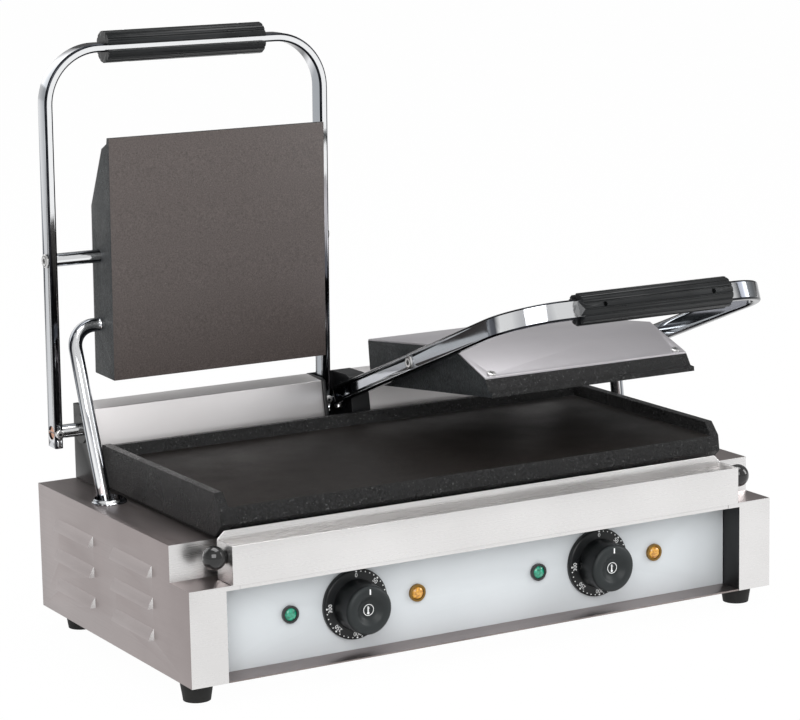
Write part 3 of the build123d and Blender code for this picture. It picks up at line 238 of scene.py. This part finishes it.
def castIron(name, tone):
    material, tree, shader = makeMaterial(name)
    look = ironSet[tone]
    pit, broad, spark = (ironGrain[k] for k in ("pit", "patch", "spark"))
    pits = grainNoise(tree, look["pit"], pit["detail"], rough=pit["rough"])
    patch = grainNoise(tree, broad["scale"], broad["detail"], rough=broad["rough"])
    # painted highlight: pale spark specks mixed into the colour stand for glints off the cast bumps
    glintDots = grainNoise(tree, look["pit"] * spark["finer"], spark["detail"], rough=spark["rough"])
    skin = ramp(tree, pits, look["dark"], look["light"], pit["from"], pit["to"])
    share = ramp(tree, glintDots, 0.0, spark["share"], spark["from"], spark["to"])
    tree.links.new(mixColours(tree, share, skin, look["spark"]), shader.inputs["Base Color"])
    tree.links.new(ramp(tree, patch, look["smooth"], look["rough"]), shader.inputs["Roughness"])
    tree.links.new(bumpFrom(tree, pits, pit["strength"], look["depth"]), shader.inputs["Normal"])
    shader.inputs["Specular IOR Level"].default_value = look["shine"]
    return material


plasticSet = {"grainDetail": 3.0, "patch": 30.0, "patchDetail": 2.0, "strength": 0.35, "shine": 0.3}


def mouldedPlastic(name, dark, light, smooth, rough, grain=900.0, depth=0.00003, coat=0.0):
    material, tree, shader = makeMaterial(name)
    speck = grainNoise(tree, grain, plasticSet["grainDetail"])
    patch = grainNoise(tree, plasticSet["patch"], plasticSet["patchDetail"])
    tree.links.new(ramp(tree, patch, dark, light), shader.inputs["Base Color"])
    tree.links.new(ramp(tree, patch, smooth, rough), shader.inputs["Roughness"])
    tree.links.new(bumpFrom(tree, speck, plasticSet["strength"], depth), shader.inputs["Normal"])
    shader.inputs["Coat Weight"].default_value = coat
    shader.inputs["Specular IOR Level"].default_value = plasticSet["shine"]
    return material


platedSet = {"patch": 120.0, "detail": 3.0, "bump": (0.2, 0.00005)}


def platedSteel(name, dark, light, smooth=0.24, rough=0.42):
    material, tree, shader = makeMaterial(name)
    patch = grainNoise(tree, platedSet["patch"], platedSet["detail"])
    shader.inputs["Metallic"].default_value = 1.0
    tree.links.new(ramp(tree, patch, dark, light), shader.inputs["Base Color"])
    tree.links.new(ramp(tree, patch, smooth, rough), shader.inputs["Roughness"])
    tree.links.new(bumpFrom(tree, patch, *platedSet["bump"]), shader.inputs["Normal"])
    return material


fibreSet = {
    "scale": 260.0,
    "detail": 6.0,
    "stretch": (1, 1, 3),
    "grain": 0.7,
    "dark": (0.66, 0.64, 0.58),
    "light": (0.86, 0.85, 0.80),
    "bump": (0.9, 0.0008),
    "rough": 0.95,
}


def fibreMat(name):
    material, tree, shader = makeMaterial(name)
    fibre = grainNoise(tree, fibreSet["scale"], fibreSet["detail"], fibreSet["stretch"], fibreSet["grain"])
    tree.links.new(ramp(tree, fibre, fibreSet["dark"], fibreSet["light"]), shader.inputs["Base Color"])
    tree.links.new(bumpFrom(tree, fibre, *fibreSet["bump"]), shader.inputs["Normal"])
    shader.inputs["Roughness"].default_value = fibreSet["rough"]
    return material


lensSet = {"spark": 420.0, "detail": 2.0, "rough": 0.12, "coat": 0.8, "coatRough": 0.05}


def lampLens(name, deep, bright):
    material, tree, shader = makeMaterial(name)
    spark = grainNoise(tree, lensSet["spark"], lensSet["detail"])
    tree.links.new(ramp(tree, spark, deep, bright), shader.inputs["Base Color"])
    shader.inputs["Roughness"].default_value = lensSet["rough"]
    shader.inputs["Coat Weight"].default_value = lensSet["coat"]
    shader.inputs["Coat Roughness"].default_value = lensSet["coatRough"]
    return material


print("finishes")
# which steel and which way its grain runs
steelLooks = {
    "caseSteel": ("case", "Y"),
    # brightSteelAndLitFronts is the bright steel, also painted on the case's front-facing faces as painted
    # light
    "brightSteelAndLitFronts": ("bright", "X"),
    "coverSteel": ("cover", "X"),
    "housingSteel": ("housing", "X"),
    "louvreSteel": ("louvre", "Y"),
    "sillShadeSteel": ("sillShade", "X"),
}

# dark and light tone, smoothest and roughest
platedLooks = {
    # chromeEdgeShade is a near-black plate painted on the bars' rounded edges as a painted dark reflection
    "chromeEdgeShade": ((0.008, 0.009, 0.011), (0.03, 0.032, 0.038), 0.1, 0.2),
    "element": ((0.16, 0.14, 0.13), (0.30, 0.28, 0.26), 0.4, 0.6),
    "zinc": ((0.55, 0.55, 0.55), (0.68, 0.67, 0.66)),
    "bronze": ((0.20, 0.115, 0.03), (0.30, 0.18, 0.055), 0.28, 0.4),
    "springSteel": ((0.15, 0.15, 0.16), (0.26, 0.26, 0.27)),
    "copper": ((0.50, 0.27, 0.18), (0.64, 0.36, 0.25), 0.2, 0.34),
}

# dark and light tone, smoothest and roughest, then the grain, its depth and the coat
plasticLooks = {
    "panelFilm": ((0.575, 0.605, 0.625), (0.59, 0.62, 0.64), 0.62, 0.7, 1500.0, 0.00001),
    "knobBody": ((0.002, 0.0024, 0.0026), (0.004, 0.005, 0.0055), 0.25, 0.35),
    # knobCapSheen is the black knob plastic made greyer, as painted sheen on the caps
    "knobCapSheen": ((0.011, 0.0135, 0.014), (0.017, 0.021, 0.022), 0.4, 0.5, 500.0, 0.00008),
    "gasket": ((0.012, 0.012, 0.012), (0.022, 0.022, 0.022), 0.6, 0.75),
    "phenolic": ((0.05, 0.03, 0.018), (0.075, 0.045, 0.026), 0.4, 0.55),
    "blackPlastic": ((0.005, 0.0056, 0.0062), (0.010, 0.0112, 0.012), 0.26, 0.36),
    "blackGloss": ((0.006, 0.006, 0.006), (0.009, 0.009, 0.009), 0.08, 0.13, 300.0, 0.00001, 0.6),
    "ivory": ((0.55, 0.50, 0.38), (0.64, 0.60, 0.48), 0.45, 0.6),
    "rubber": ((0.010, 0.010, 0.010), (0.02, 0.02, 0.019), 0.6, 0.8, 700.0, 0.00008),
    "blackPaint": ((0.004, 0.0042, 0.0045), (0.009, 0.0095, 0.0105), 0.3, 0.42, 800.0, 0.00006),
    "whiteInk": ((0.72, 0.73, 0.73), (0.80, 0.81, 0.81), 0.45, 0.55),
}

ironLooks = {"ironRough": "rough", "ironFloor": "floor", "ironFace": "face", "ironFlank": "flank"}

# deep and bright tone
lensLooks = {
    "greenLens": ((0.0, 0.10, 0.055), (0.03, 0.42, 0.26)),
    "amberLens": ((0.35, 0.13, 0.01), (0.85, 0.45, 0.06)),
}

finishes = {"chrome": polishedChrome("chrome"), "fibre": fibreMat("fibre")}
finishes.update({name: satinSteel(name, *look) for name, look in steelLooks.items()})
finishes.update({name: platedSteel(name, *look) for name, look in platedLooks.items()})
finishes.update({name: mouldedPlastic(name, *look) for name, look in plasticLooks.items()})
finishes.update({name: castIron(name, tone) for name, tone in ironLooks.items()})
finishes.update({name: lampLens(name, *look) for name, look in lensLooks.items()})

# the finish that each slot of the record gets
slotFinish = {
    "steel_case": "caseSteel",
    "steel_bright": "brightSteelAndLitFronts",
    "panel_steel": "panelFilm",
    "cast_iron_black": "ironRough",
    "gasket_rubber": "gasket",
    "element_steel": "element",
    "zinc_steel": "zinc",
    "insulation": "fibre",
    "brown_plastic": "phenolic",
    "black_plastic": "blackPlastic",
    "black_gloss": "blackGloss",
    "green_lens": "greenLens",
    "amber_lens": "amberLens",
    "ivory_plastic": "ivory",
    "black_rubber": "rubber",
    "black_paint": "blackPaint",
    "spring_steel": "springSteel",
    "chrome_bright": "chrome",
}

slotOf = {part["node"]: part["material_slot"] for part in frame["record"]["subparts"]}
bodyOf = {name: body for body, names in frame["record"]["behaviour"]["bodies"].items() for name in names}

for name, part in nodes.items():
    part.data.materials.clear()
    part.data.materials.append(finishes[slotFinish[slotOf[name]]])


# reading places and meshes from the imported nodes
meshSet = {
    "weldGap": 2e-6,
    "flatAngle": 0.4,
    "bevelSteps": 2,
    "bevelShape": 0.6,
    "bevelAbove": 28.0,
    "bevelSmooth": 32,
    "turnedSmooth": 34,
}


def boxOf(node):
    spots = [v.co for v in nodes[node].data.vertices]
    low = Vector(min(p[i] for p in spots) for i in range(3))
    high = Vector(max(p[i] for p in spots) for i in range(3))
    return low, high


def weldedMesh(node):
    work = bmesh.new()
    work.from_mesh(nodes[node].data)
    bmesh.ops.remove_doubles(work, verts=work.verts, dist=meshSet["weldGap"])
    return work


def joinFlats(work):
    angle = math.radians(meshSet["flatAngle"])
    bmesh.ops.dissolve_limit(work, angle_limit=angle, verts=work.verts, edges=work.edges)


def addPiece(name, work, node, replace=False, smooth=None):
    mesh = bpy.data.meshes.new(name)
    work.to_mesh(mesh)
    work.free()
    if smooth:
        mesh.polygons.foreach_set("use_smooth", [True] * len(mesh.polygons))
        mesh.set_sharp_from_angle(angle=math.radians(smooth))
    mesh.materials.append(finishes[slotFinish[slotOf[node]]])
    piece = bpy.data.objects.new(name, mesh)
    scene.collection.objects.link(piece)
    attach(piece, bodyOf[node])
    if replace:
        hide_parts(node)
    return piece


def edgedPiece(node, width):
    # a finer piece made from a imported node: welded, its sharp edges rounded
    work = weldedMesh(node)
    joinFlats(work)
    sharp = math.radians(meshSet["bevelAbove"])
    edges = [e for e in work.edges if len(e.link_faces) == 2 and e.calc_face_angle(0) > sharp]
    bmesh.ops.bevel(work, geom=edges, offset=width, offset_type="OFFSET", segments=meshSet["bevelSteps"],
                    profile=meshSet["bevelShape"], affect="EDGES", clamp_overlap=True)
    return addPiece(node + "_edged", work, node, True, meshSet["bevelSmooth"])


def smoothPiece(node):
    return addPiece(node + "_smooth", weldedMesh(node), node, True, meshSet["turnedSmooth"])


def paintFaces(piece, finish, chosen):
    piece.data.materials.append(finishes[finish])
    slot = len(piece.data.materials) - 1
    for face in piece.data.polygons:
        if chosen(face):
            face.material_index = slot


print("sheet metal and castings")
# how wide the rounding of each piece's edges is
edgeSet = {
    "side_case_left": 0.0005,
    "side_case_right": 0.0005,
    "base_pan": 0.0003,
    "back_panel": 0.0003,
    "front_panel": 0.0003,
    "front_ledge": 0.0003,
    "deck_plate": 0.0004,
    "lower_plate": 0.0016,
    "rear_housing_left": 0.0006,
    "rear_housing_right": 0.0006,
    "hinge_cheeks": 0.0006,
    "hinge_web": 0.0004,
    "drip_tray": 0.0005,
    "upper_plate_left": 0.0014,
    "upper_plate_right": 0.0014,
    "plate_cover_left": 0.0005,
    "plate_cover_right": 0.0005,
    "dial_skirts": 0.0005,
}
smoothSet = (
    "lid_frame_left", "lid_frame_right", "conduit_left", "conduit_right", "conduit_rings",
    "pivot_rod_left", "pivot_rod_right", "hinge_shaft_left", "hinge_shaft_right",
    "grip_shells_left", "grip_shells_right", "knob_left", "knob_right", "rubber_feet",
    "tray_knobs", "lamp_bezels", "cable_gland", "frame_bolts_left", "frame_bolts_right",
)
pieces = {node: edgedPiece(node, width) for node, width in edgeSet.items()}
pieces.update({node: smoothPiece(node) for node in smoothSet})

# the lower plate is ground smooth on its cooking floor
floorSet = {"underRim": 0.011, "band": 0.0015, "level": 0.99}
floorHigh = boxOf("lower_plate")[1].z - floorSet["underRim"]
paintFaces(pieces["lower_plate"], "ironFloor",
           lambda f: f.normal.z > floorSet["level"] and abs(f.center.z - floorHigh) < floorSet["band"])

# the pillars' front faces get the bright steel as painted light, their inner faces in the controls' recess
# are painted black as painted shade, and the pan's sill is painted in a darker, browner steel as painted
# shade
pillarSet = {"sideways": 0.9, "band": 0.001, "forward": 0.5, "sillDepth": 0.1}
panelFront = boxOf("front_panel")[0].y
pillarInner = boxOf("front_panel")[1].x


def shadedRecessFace(face):
    beside = abs(abs(face.center.x) - pillarInner) < pillarSet["band"]
    return beside and abs(face.normal.x) > pillarSet["sideways"] and face.center.y < panelFront


for side in ("left", "right"):
    # painted shade: the pillars' inner faces beside the controls' recess are painted black
    paintFaces(pieces["side_case_" + side], "blackPaint", shadedRecessFace)
    paintFaces(pieces["side_case_" + side], "brightSteelAndLitFronts", lambda f: f.normal.y < -pillarSet["forward"])
# painted shade: the pan's front sill is painted in a darker, browner copy of the case steel
paintFaces(pieces["base_pan"], "sillShadeSteel", lambda f: f.center.y < panelFront + pillarSet["sillDepth"])

# louvre hoods catch more light than the wall they are pressed from
louvreSet = {"upward": 0.2, "underDeck": 0.002, "pastPan": 0.034}
louvreHigh = boxOf("deck_plate")[1].z - louvreSet["underDeck"]
louvreInner = boxOf("base_pan")[1].x + louvreSet["pastPan"]


def onLouvre(face):
    outside = abs(face.center.x) > louvreInner
    return outside and face.normal.z > louvreSet["upward"] and face.center.z < louvreHigh


for side in ("left", "right"):
    paintFaces(pieces["side_case_" + side], "louvreSteel", onLouvre)

# the knobs have a dark body, and their front caps get a greyer copy of the same plastic as painted sheen
capSheenSet = {"depth": 0.006, "forward": 0.2}
for side in ("left", "right"):
    pieces["knob_" + side].data.materials[0] = finishes["knobBody"]
    capSheenBack = boxOf("knob_" + side)[0].y + capSheenSet["depth"]
    paintFaces(pieces["knob_" + side], "knobCapSheen",
               lambda f: f.center.y < capSheenBack and f.normal.y < -capSheenSet["forward"])

# the amber lamps sit in bronze bezels
low, high = boxOf("amber_lamp_lenses")
lensRadius = (high.z - low.z) / 2
amberSpots = (low.x + lensRadius, high.x - lensRadius)
paintFaces(pieces["lamp_bezels"], "bronze",
           lambda f: min(abs(f.center.x - x) for x in amberSpots) < 2 * lensRadius)

# the screw heads in the grips are black, and the bars' rounded edges are painted near black as a painted
# dark reflection
barSet = {
    "aroundGrip": 0.004,
    "side": 0.16,
    "flat": 0.985,
    "across": {"left": Vector((0, 1.0, 0.0227)), "right": Vector((0, 0.3543, 0.9351))},
}


def inBox(spot, low, high, spare):
    return all(low[i] - spare < spot[i] < high[i] + spare for i in range(3))


for side in ("left", "right"):
    low, high = boxOf("grip_shells_" + side)
    across = barSet["across"][side]
    paintFaces(pieces["frame_bolts_" + side], "blackPaint",
               lambda f: inBox(f.center, low, high, barSet["aroundGrip"]))
    paintFaces(pieces["lid_frame_" + side], "chromeEdgeShade",
               lambda f: barSet["side"] < abs(f.normal.dot(across)) < barSet["flat"])

# the upper plates have a ground face and rough flanks
plateSet = {
    "turn": {"left": Vector((0, -1, 0)), "right": Vector((0, -0.106, -0.994))},
    "facing": 0.985,
    "faceArea": 0.01,
    "sideways": 0.9,
    "flankArea": 0.0005,
}
for side, turn in plateSet["turn"].items():
    plate = pieces["upper_plate_" + side]
    paintFaces(plate, "ironFace",
               lambda f: f.normal.dot(turn) > plateSet["facing"] and f.area > plateSet["faceArea"])
    paintFaces(plate, "ironFlank",
               lambda f: abs(f.normal.x) > plateSet["sideways"] and f.area > plateSet["flankArea"])

# the hinge shafts show a copper flash on their outer ends
shaftSet = {"sideways": 0.9, "outer": 0.2}
for side in ("left", "right"):
    paintFaces(pieces["hinge_shaft_" + side], "copper",
               lambda f: abs(f.normal.x) > shaftSet["sideways"] and abs(f.center.x) > shaftSet["outer"])

# the housings and covers have a finer, duller grain than the tray
for side in ("left", "right"):
    pieces["rear_housing_" + side].data.materials[0] = finishes["housingSteel"]
    pieces["plate_cover_" + side].data.materials[0] = finishes["coverSteel"]


# thin printed marks: flat shapes laid on a plane that faces the front
def frontPlane(x, y, z, turn=0.0):
    face = Matrix(((1, 0, 0), (0, 0, -1), (0, 1, 0))).to_4x4()
    return Matrix.Translation((x, y, z)) @ face @ Matrix.Rotation(turn, 4, "Z")


def addFlat(work, outline, place, thickness):
    low = [work.verts.new(place @ Vector((x, y, 0))) for x, y in outline]
    high = [work.verts.new(place @ Vector((x, y, thickness))) for x, y in outline]
    work.faces.new(low[::-1])
    work.faces.new(high)
    for i in range(len(outline)):
        j = (i + 1) % len(outline)
        work.faces.new((low[i], low[j], high[j], high[i]))


def roundOutline(radius, count=20, x=0.0, y=0.0):
    turns = [math.tau * i / count for i in range(count)]
    return [(x + radius * math.cos(turn), y + radius * math.sin(turn)) for turn in turns]


def addBar(work, left, low, right, high, place, thickness):
    addFlat(work, [(left, low), (right, low), (right, high), (left, high)], place, thickness)


def addRing(work, place, outer, inner, thickness, count=48):
    rows = []
    for radius, lift in ((inner, 0), (inner, thickness), (outer, thickness), (outer, 0)):
        rows.append([work.verts.new(place @ Vector((x, y, lift))) for x, y in roundOutline(radius, count)])
    for a, b in zip(rows, rows[1:] + rows[:1]):
        for i in range(count):
            j = (i + 1) % count
            work.faces.new((a[i], a[j], b[j], b[i]))


def addFigures(work, words, size, place, thickness):
    curve = bpy.data.curves.new("figures", "FONT")
    curve.body = words
    curve.size = size
    curve.align_x = "CENTER"
    curve.align_y = "CENTER"
    curve.extrude = thickness / 2
    holder = bpy.data.objects.new("figures", curve)
    mesh = holder.to_mesh()
    mesh.transform(place @ Matrix.Translation((0, 0, thickness / 2)))
    work.from_mesh(mesh)
    holder.to_mesh_clear()
    bpy.data.objects.remove(holder)


print("dials")
dialSet = {
    "ink": 0.00012,
    "figures": ("0", "50", "100", "150", "200", "250", "300"),
    "figureStep": 45.0,
    "figureSize": 0.0050,
    "figureRing": 0.0248,
    "dotRing": 0.0281,
    "dotRadius": 0.00055,
    "dotSides": 10,
    "figureDot": 1.5,
    "dotsBetween": 4,
    "pointer": (0.0136, 0.0182, 0.0006),
    "ringDepth": 0.0036,
    "symbolDepth": 0.0043,
    "symbolRing": 0.0049,
    "symbolLine": 0.00055,
    "stem": (0.0006, 0.0028),
    "bulb": 0.0011,
    "rungs": (0.0007, 0.0018),
    "rungLine": 0.0004,
    "rungReach": 2.2,
}


def dialMarks(x, y, z, name):
    work = bmesh.new()
    ink = dialSet["ink"]
    perFigure = dialSet["dotsBetween"] + 1
    for i in range((len(dialSet["figures"]) - 1) * perFigure + 1):
        turn = -math.radians(dialSet["figureStep"] / perFigure * i)
        dot = dialSet["dotRadius"] * (dialSet["figureDot"] if i % perFigure == 0 else 1)
        outline = roundOutline(dot, dialSet["dotSides"], 0, dialSet["dotRing"])
        addFlat(work, outline, frontPlane(x, y, z, turn), ink)
    for i, words in enumerate(dialSet["figures"]):
        turn = -math.radians(dialSet["figureStep"] * i)
        place = frontPlane(x, y, z, turn) @ Matrix.Translation((0, dialSet["figureRing"], 0))
        addFigures(work, words, dialSet["figureSize"], place, ink)
    piece = addPiece(name, work, "dial_skirts")
    piece.data.materials[0] = finishes["whiteInk"]


def capMarks(side, x, front, z):
    # pointer over the rim and a thermometer in a ring, in the cap's dish
    work = bmesh.new()
    ink = dialSet["ink"]
    near, far, half = dialSet["pointer"]
    addBar(work, -half, near, half, far, frontPlane(x, front, z), ink)
    ring, line = dialSet["symbolRing"], dialSet["symbolLine"]
    addRing(work, frontPlane(x, front + dialSet["ringDepth"], z), ring, ring - line, ink)
    half, reach = dialSet["stem"]
    seat = frontPlane(x, front + dialSet["symbolDepth"], z)
    addBar(work, -half, -reach, half, reach, seat, ink)
    addFlat(work, roundOutline(dialSet["bulb"], 20, 0, -reach), seat, 2 * ink)
    for rung in dialSet["rungs"]:
        addBar(work, 0, rung, dialSet["rungReach"] * half, rung + dialSet["rungLine"], seat, ink)
    piece = addPiece("capMarks_" + side, work, "knob_" + side)
    piece.data.materials[0] = finishes["whiteInk"]


skirtFront = boxOf("dial_skirts")[0].y
for side in ("left", "right"):
    low, high = boxOf("knob_" + side)
    knobX, knobZ = (low.x + high.x) / 2, (low.z + high.z) / 2
    dialMarks(knobX, skirtFront, knobZ, "dialMarks_" + side)
    capMarks(side, knobX, low.y, knobZ)


def islandsOf(work):
    work.verts.ensure_lookup_table()
    seen, groups = set(), []
    for start in work.verts:
        if start.index in seen:
            continue
        group, queue = [], [start]
        seen.add(start.index)
        while queue:
            vert = queue.pop()
            group.append(vert)
            for edge in vert.link_edges:
                other = edge.other_vert(vert)
                if other.index not in seen:
                    seen.add(other.index)
                    queue.append(other)
        groups.append(group)
    return groups


def addTurned(work, place, profile, count=36):
    rows = []
    for radius, lift in profile:
        ring = roundOutline(radius, count) if radius else [(0, 0)]
        rows.append([work.verts.new(place @ Vector((x, y, lift))) for x, y in ring])
    for a, b in zip(rows, rows[1:]):
        for i in range(count):
            j = (i + 1) % count
            corners = (a[i], a[j], b[0]) if len(b) == 1 else (a[i], a[j], b[j], b[i])
            work.faces.new(corners)


print("lamps")
domeSet = {
    "rise": (0.0, 0.0014, 0.0023, 0.0032, 0.0038, 0.004),
    "radius": (0.0055, 0.0055, 0.0052, 0.0042, 0.0024, 0.0),
    "smooth": 40,
}


def domedLenses(node):
    work = weldedMesh(node)
    groups = islandsOf(work)
    spots = [sum((v.co for v in group), Vector()) / len(group) for group in groups]
    back = max(v.co.y for v in work.verts)
    work.free()
    work = bmesh.new()
    profile = list(zip(domeSet["radius"], domeSet["rise"]))
    for spot in spots:
        addTurned(work, frontPlane(spot.x, back, spot.z), profile)
    addPiece(node + "_domed", work, node, True, domeSet["smooth"])


domedLenses("green_lamp_lenses")
domedLenses("amber_lamp_lenses")


print("screw heads")
# sizes are shares of the head's radius, and heights are shares of its dome
headSet = {
    "dome": 0.14,
    "profile": ((0.97, 0), (0.9, 0.55), (0.7, 0.9), (0, 1)),
    "sides": 28,
    "smooth": 50,
    "crossWide": 0.17,
    "crossLong": 0.62,
    "hexagon": 0.42,
    "ring": 0.8,
    "ringWide": 0.1,
    "markLift": 0.9,
    "markRise": 0.12,
    "ringRise": -0.2,
}


def dressedHeads(node, recess, hidden=None):
    # a dome on the broadest face of each screw, with its recess drawn as a flat mark painted black as
    # painted shade, but not near the hidden node
    work = weldedMesh(node)
    joinFlats(work)
    tops = []
    low, high = boxOf(hidden or node)
    for group in islandsOf(work):
        faces = {f for v in group for f in v.link_faces}
        top = max(faces, key=lambda f: f.calc_area())
        spot = top.calc_center_median()
        if hidden and inBox(spot, low, high, barSet["aroundGrip"]):
            continue
        tops.append((spot, top.normal.copy(), math.sqrt(top.calc_area() / math.pi)))
    work.free()
    domes, recessShadeMarks = bmesh.new(), bmesh.new()
    for spot, normal, radius in tops:
        place = Matrix.Translation(spot) @ normal.to_track_quat("Z", "Y").to_matrix().to_4x4()
        rise = radius * headSet["dome"]
        profile = [(radius * out, rise * up) for out, up in headSet["profile"]]
        addTurned(domes, place, profile, headSet["sides"])
        top = place @ Matrix.Translation((0, 0, rise * headSet["markLift"]))
        if recess == "cross":
            half, reach = radius * headSet["crossWide"] / 2, radius * headSet["crossLong"]
            addBar(recessShadeMarks, -half, -reach, half, reach, top, rise * headSet["markRise"])
            addBar(recessShadeMarks, -reach, -half, reach, half, top, rise * headSet["markRise"])
        else:
            addFlat(recessShadeMarks, roundOutline(radius * headSet["hexagon"], 6), top, rise * headSet["markRise"])
            inner = headSet["ring"] - headSet["ringWide"]
            addRing(recessShadeMarks, top, radius * headSet["ring"], radius * inner,
                    rise * headSet["ringRise"], headSet["sides"])
    addPiece(node + "_domes", domes, node, False, headSet["smooth"])
    # the recesses are flat marks painted black as painted shade
    piece = addPiece(node + "_recessShade", recessShadeMarks, node)
    piece.data.materials[0] = finishes["blackPaint"]


for side in ("left", "right"):
    dressedHeads("frame_bolts_" + side, "socket", "grip_shells_" + side)
    dressedHeads("cover_screws_" + side, "cross")
dressedHeads("case_screws", "cross")


# floor, light and surroundings
stageSet = {
    "floorSize": 60.0,
    "floorCells": 6,
    "floorGrey": (0.80, 0.80, 0.80),
    "whiteShare": 0.985,
    "frontLevel": 0.72,
    "rearLow": 0.16,
    "leftLevel": 0.75,
    "rearHigh": 0.42,
    "leftToRight": (-0.25, 0.25),
    "lowToHigh": (0.2, 0.6),
    "frontToRear": (-0.35, 0.25),
}


def makeFloor():
    mesh = bpy.data.meshes.new("studioFloor")
    work = bmesh.new()
    cells = stageSet["floorCells"]
    bmesh.ops.create_grid(work, x_segments=cells, y_segments=cells, size=stageSet["floorSize"] / 2)
    work.to_mesh(mesh)
    work.free()
    floor = bpy.data.objects.new("studioFloor", mesh)
    scene.collection.objects.link(floor)
    material = bpy.data.materials.new("studioFloor")
    material.use_nodes = True
    tree = material.node_tree
    tree.nodes.clear()
    matte = addNode(tree, "ShaderNodeBsdfDiffuse", {"Color": (*stageSet["floorGrey"], 1)})
    white = addNode(tree, "ShaderNodeEmission", {"Color": (1, 1, 1, 1), "Strength": 1.0})
    ray = addNode(tree, "ShaderNodeLightPath")
    rays = {0: ray.outputs["Is Camera Ray"], 1: ray.outputs["Is Glossy Ray"]}
    seen = addNode(tree, "ShaderNodeMath", rays, operation="MAXIMUM")
    part = {0: seen.outputs[0], 1: stageSet["whiteShare"]}
    share = addNode(tree, "ShaderNodeMath", part, operation="MULTIPLY")
    shaders = {0: share.outputs[0], 1: matte.outputs[0], 2: white.outputs[0]}
    mix = addNode(tree, "ShaderNodeMixShader", shaders)
    out = addNode(tree, "ShaderNodeOutputMaterial")
    tree.links.new(mix.outputs[0], out.inputs[0])
    mesh.materials.append(material)


def blend(tree, value, span, start, end):
    inputs = {"Value": value, "From Min": span[0], "From Max": span[1], "To Min": start, "To Max": end}
    return addNode(tree, "ShaderNodeMapRange", inputs).outputs[0]


def makeWorld():
    world = bpy.data.worlds.new("studio")
    scene.world = world
    world.use_nodes = True
    tree = world.node_tree
    tree.nodes.clear()
    place = addNode(tree, "ShaderNodeTexCoord")
    # bright ahead of the grill and to its left, dim low behind it on the right, paler overhead
    x, y, z = addNode(tree, "ShaderNodeSeparateXYZ", {0: place.outputs["Generated"]}).outputs
    low = blend(tree, x, stageSet["leftToRight"], stageSet["leftLevel"], stageSet["rearLow"])
    rear = blend(tree, z, stageSet["lowToHigh"], low, stageSet["rearHigh"])
    turn = blend(tree, y, stageSet["frontToRear"], stageSet["frontLevel"], rear)
    room = addNode(tree, "ShaderNodeBackground", {"Strength": 1.0})
    tree.links.new(turn, room.inputs["Color"])
    white = addNode(tree, "ShaderNodeBackground", {"Color": (1, 1, 1, 1), "Strength": 1.0})
    ray = addNode(tree, "ShaderNodeLightPath")
    shaders = {0: ray.outputs["Is Camera Ray"], 1: room.outputs[0], 2: white.outputs[0]}
    mix = addNode(tree, "ShaderNodeMixShader", shaders)
    out = addNode(tree, "ShaderNodeOutputWorld")
    tree.links.new(mix.outputs[0], out.inputs[0])


lampSet = {
    "keyBox": {"spot": (-1.5, -2.6, 1.9), "aim": (0, 0, 0.18), "size": (2.4, 1.9), "watts": 62},
    "topBox": {"spot": (0.2, 0.1, 2.4), "aim": (0, 0, 0.1), "size": (2.0, 1.4), "watts": 34},
    "rightBox": {"spot": (2.4, -1.2, 1.3), "aim": (0, 0, 0.2), "size": (1.0, 1.6), "watts": 28},
    "backBox": {"spot": (-0.8, 2.6, 1.7), "aim": (0, 0, 0.2), "size": (2.6, 1.6), "watts": 14},
}


def makeLamps():
    for name, look in lampSet.items():
        light = bpy.data.lights.new(name, "AREA")
        light.shape = "RECTANGLE"
        light.size, light.size_y = look["size"]
        light.energy = look["watts"]
        lamp = bpy.data.objects.new(name, light)
        spot = Vector(look["spot"])
        lamp.location = spot
        lamp.rotation_euler = (Vector(look["aim"]) - spot).to_track_quat("-Z", "Y").to_euler()
        scene.collection.objects.link(lamp)


print("stage")
makeFloor()
makeWorld()
makeLamps()
makeCamera()
scene.view_settings.view_transform = "Standard"
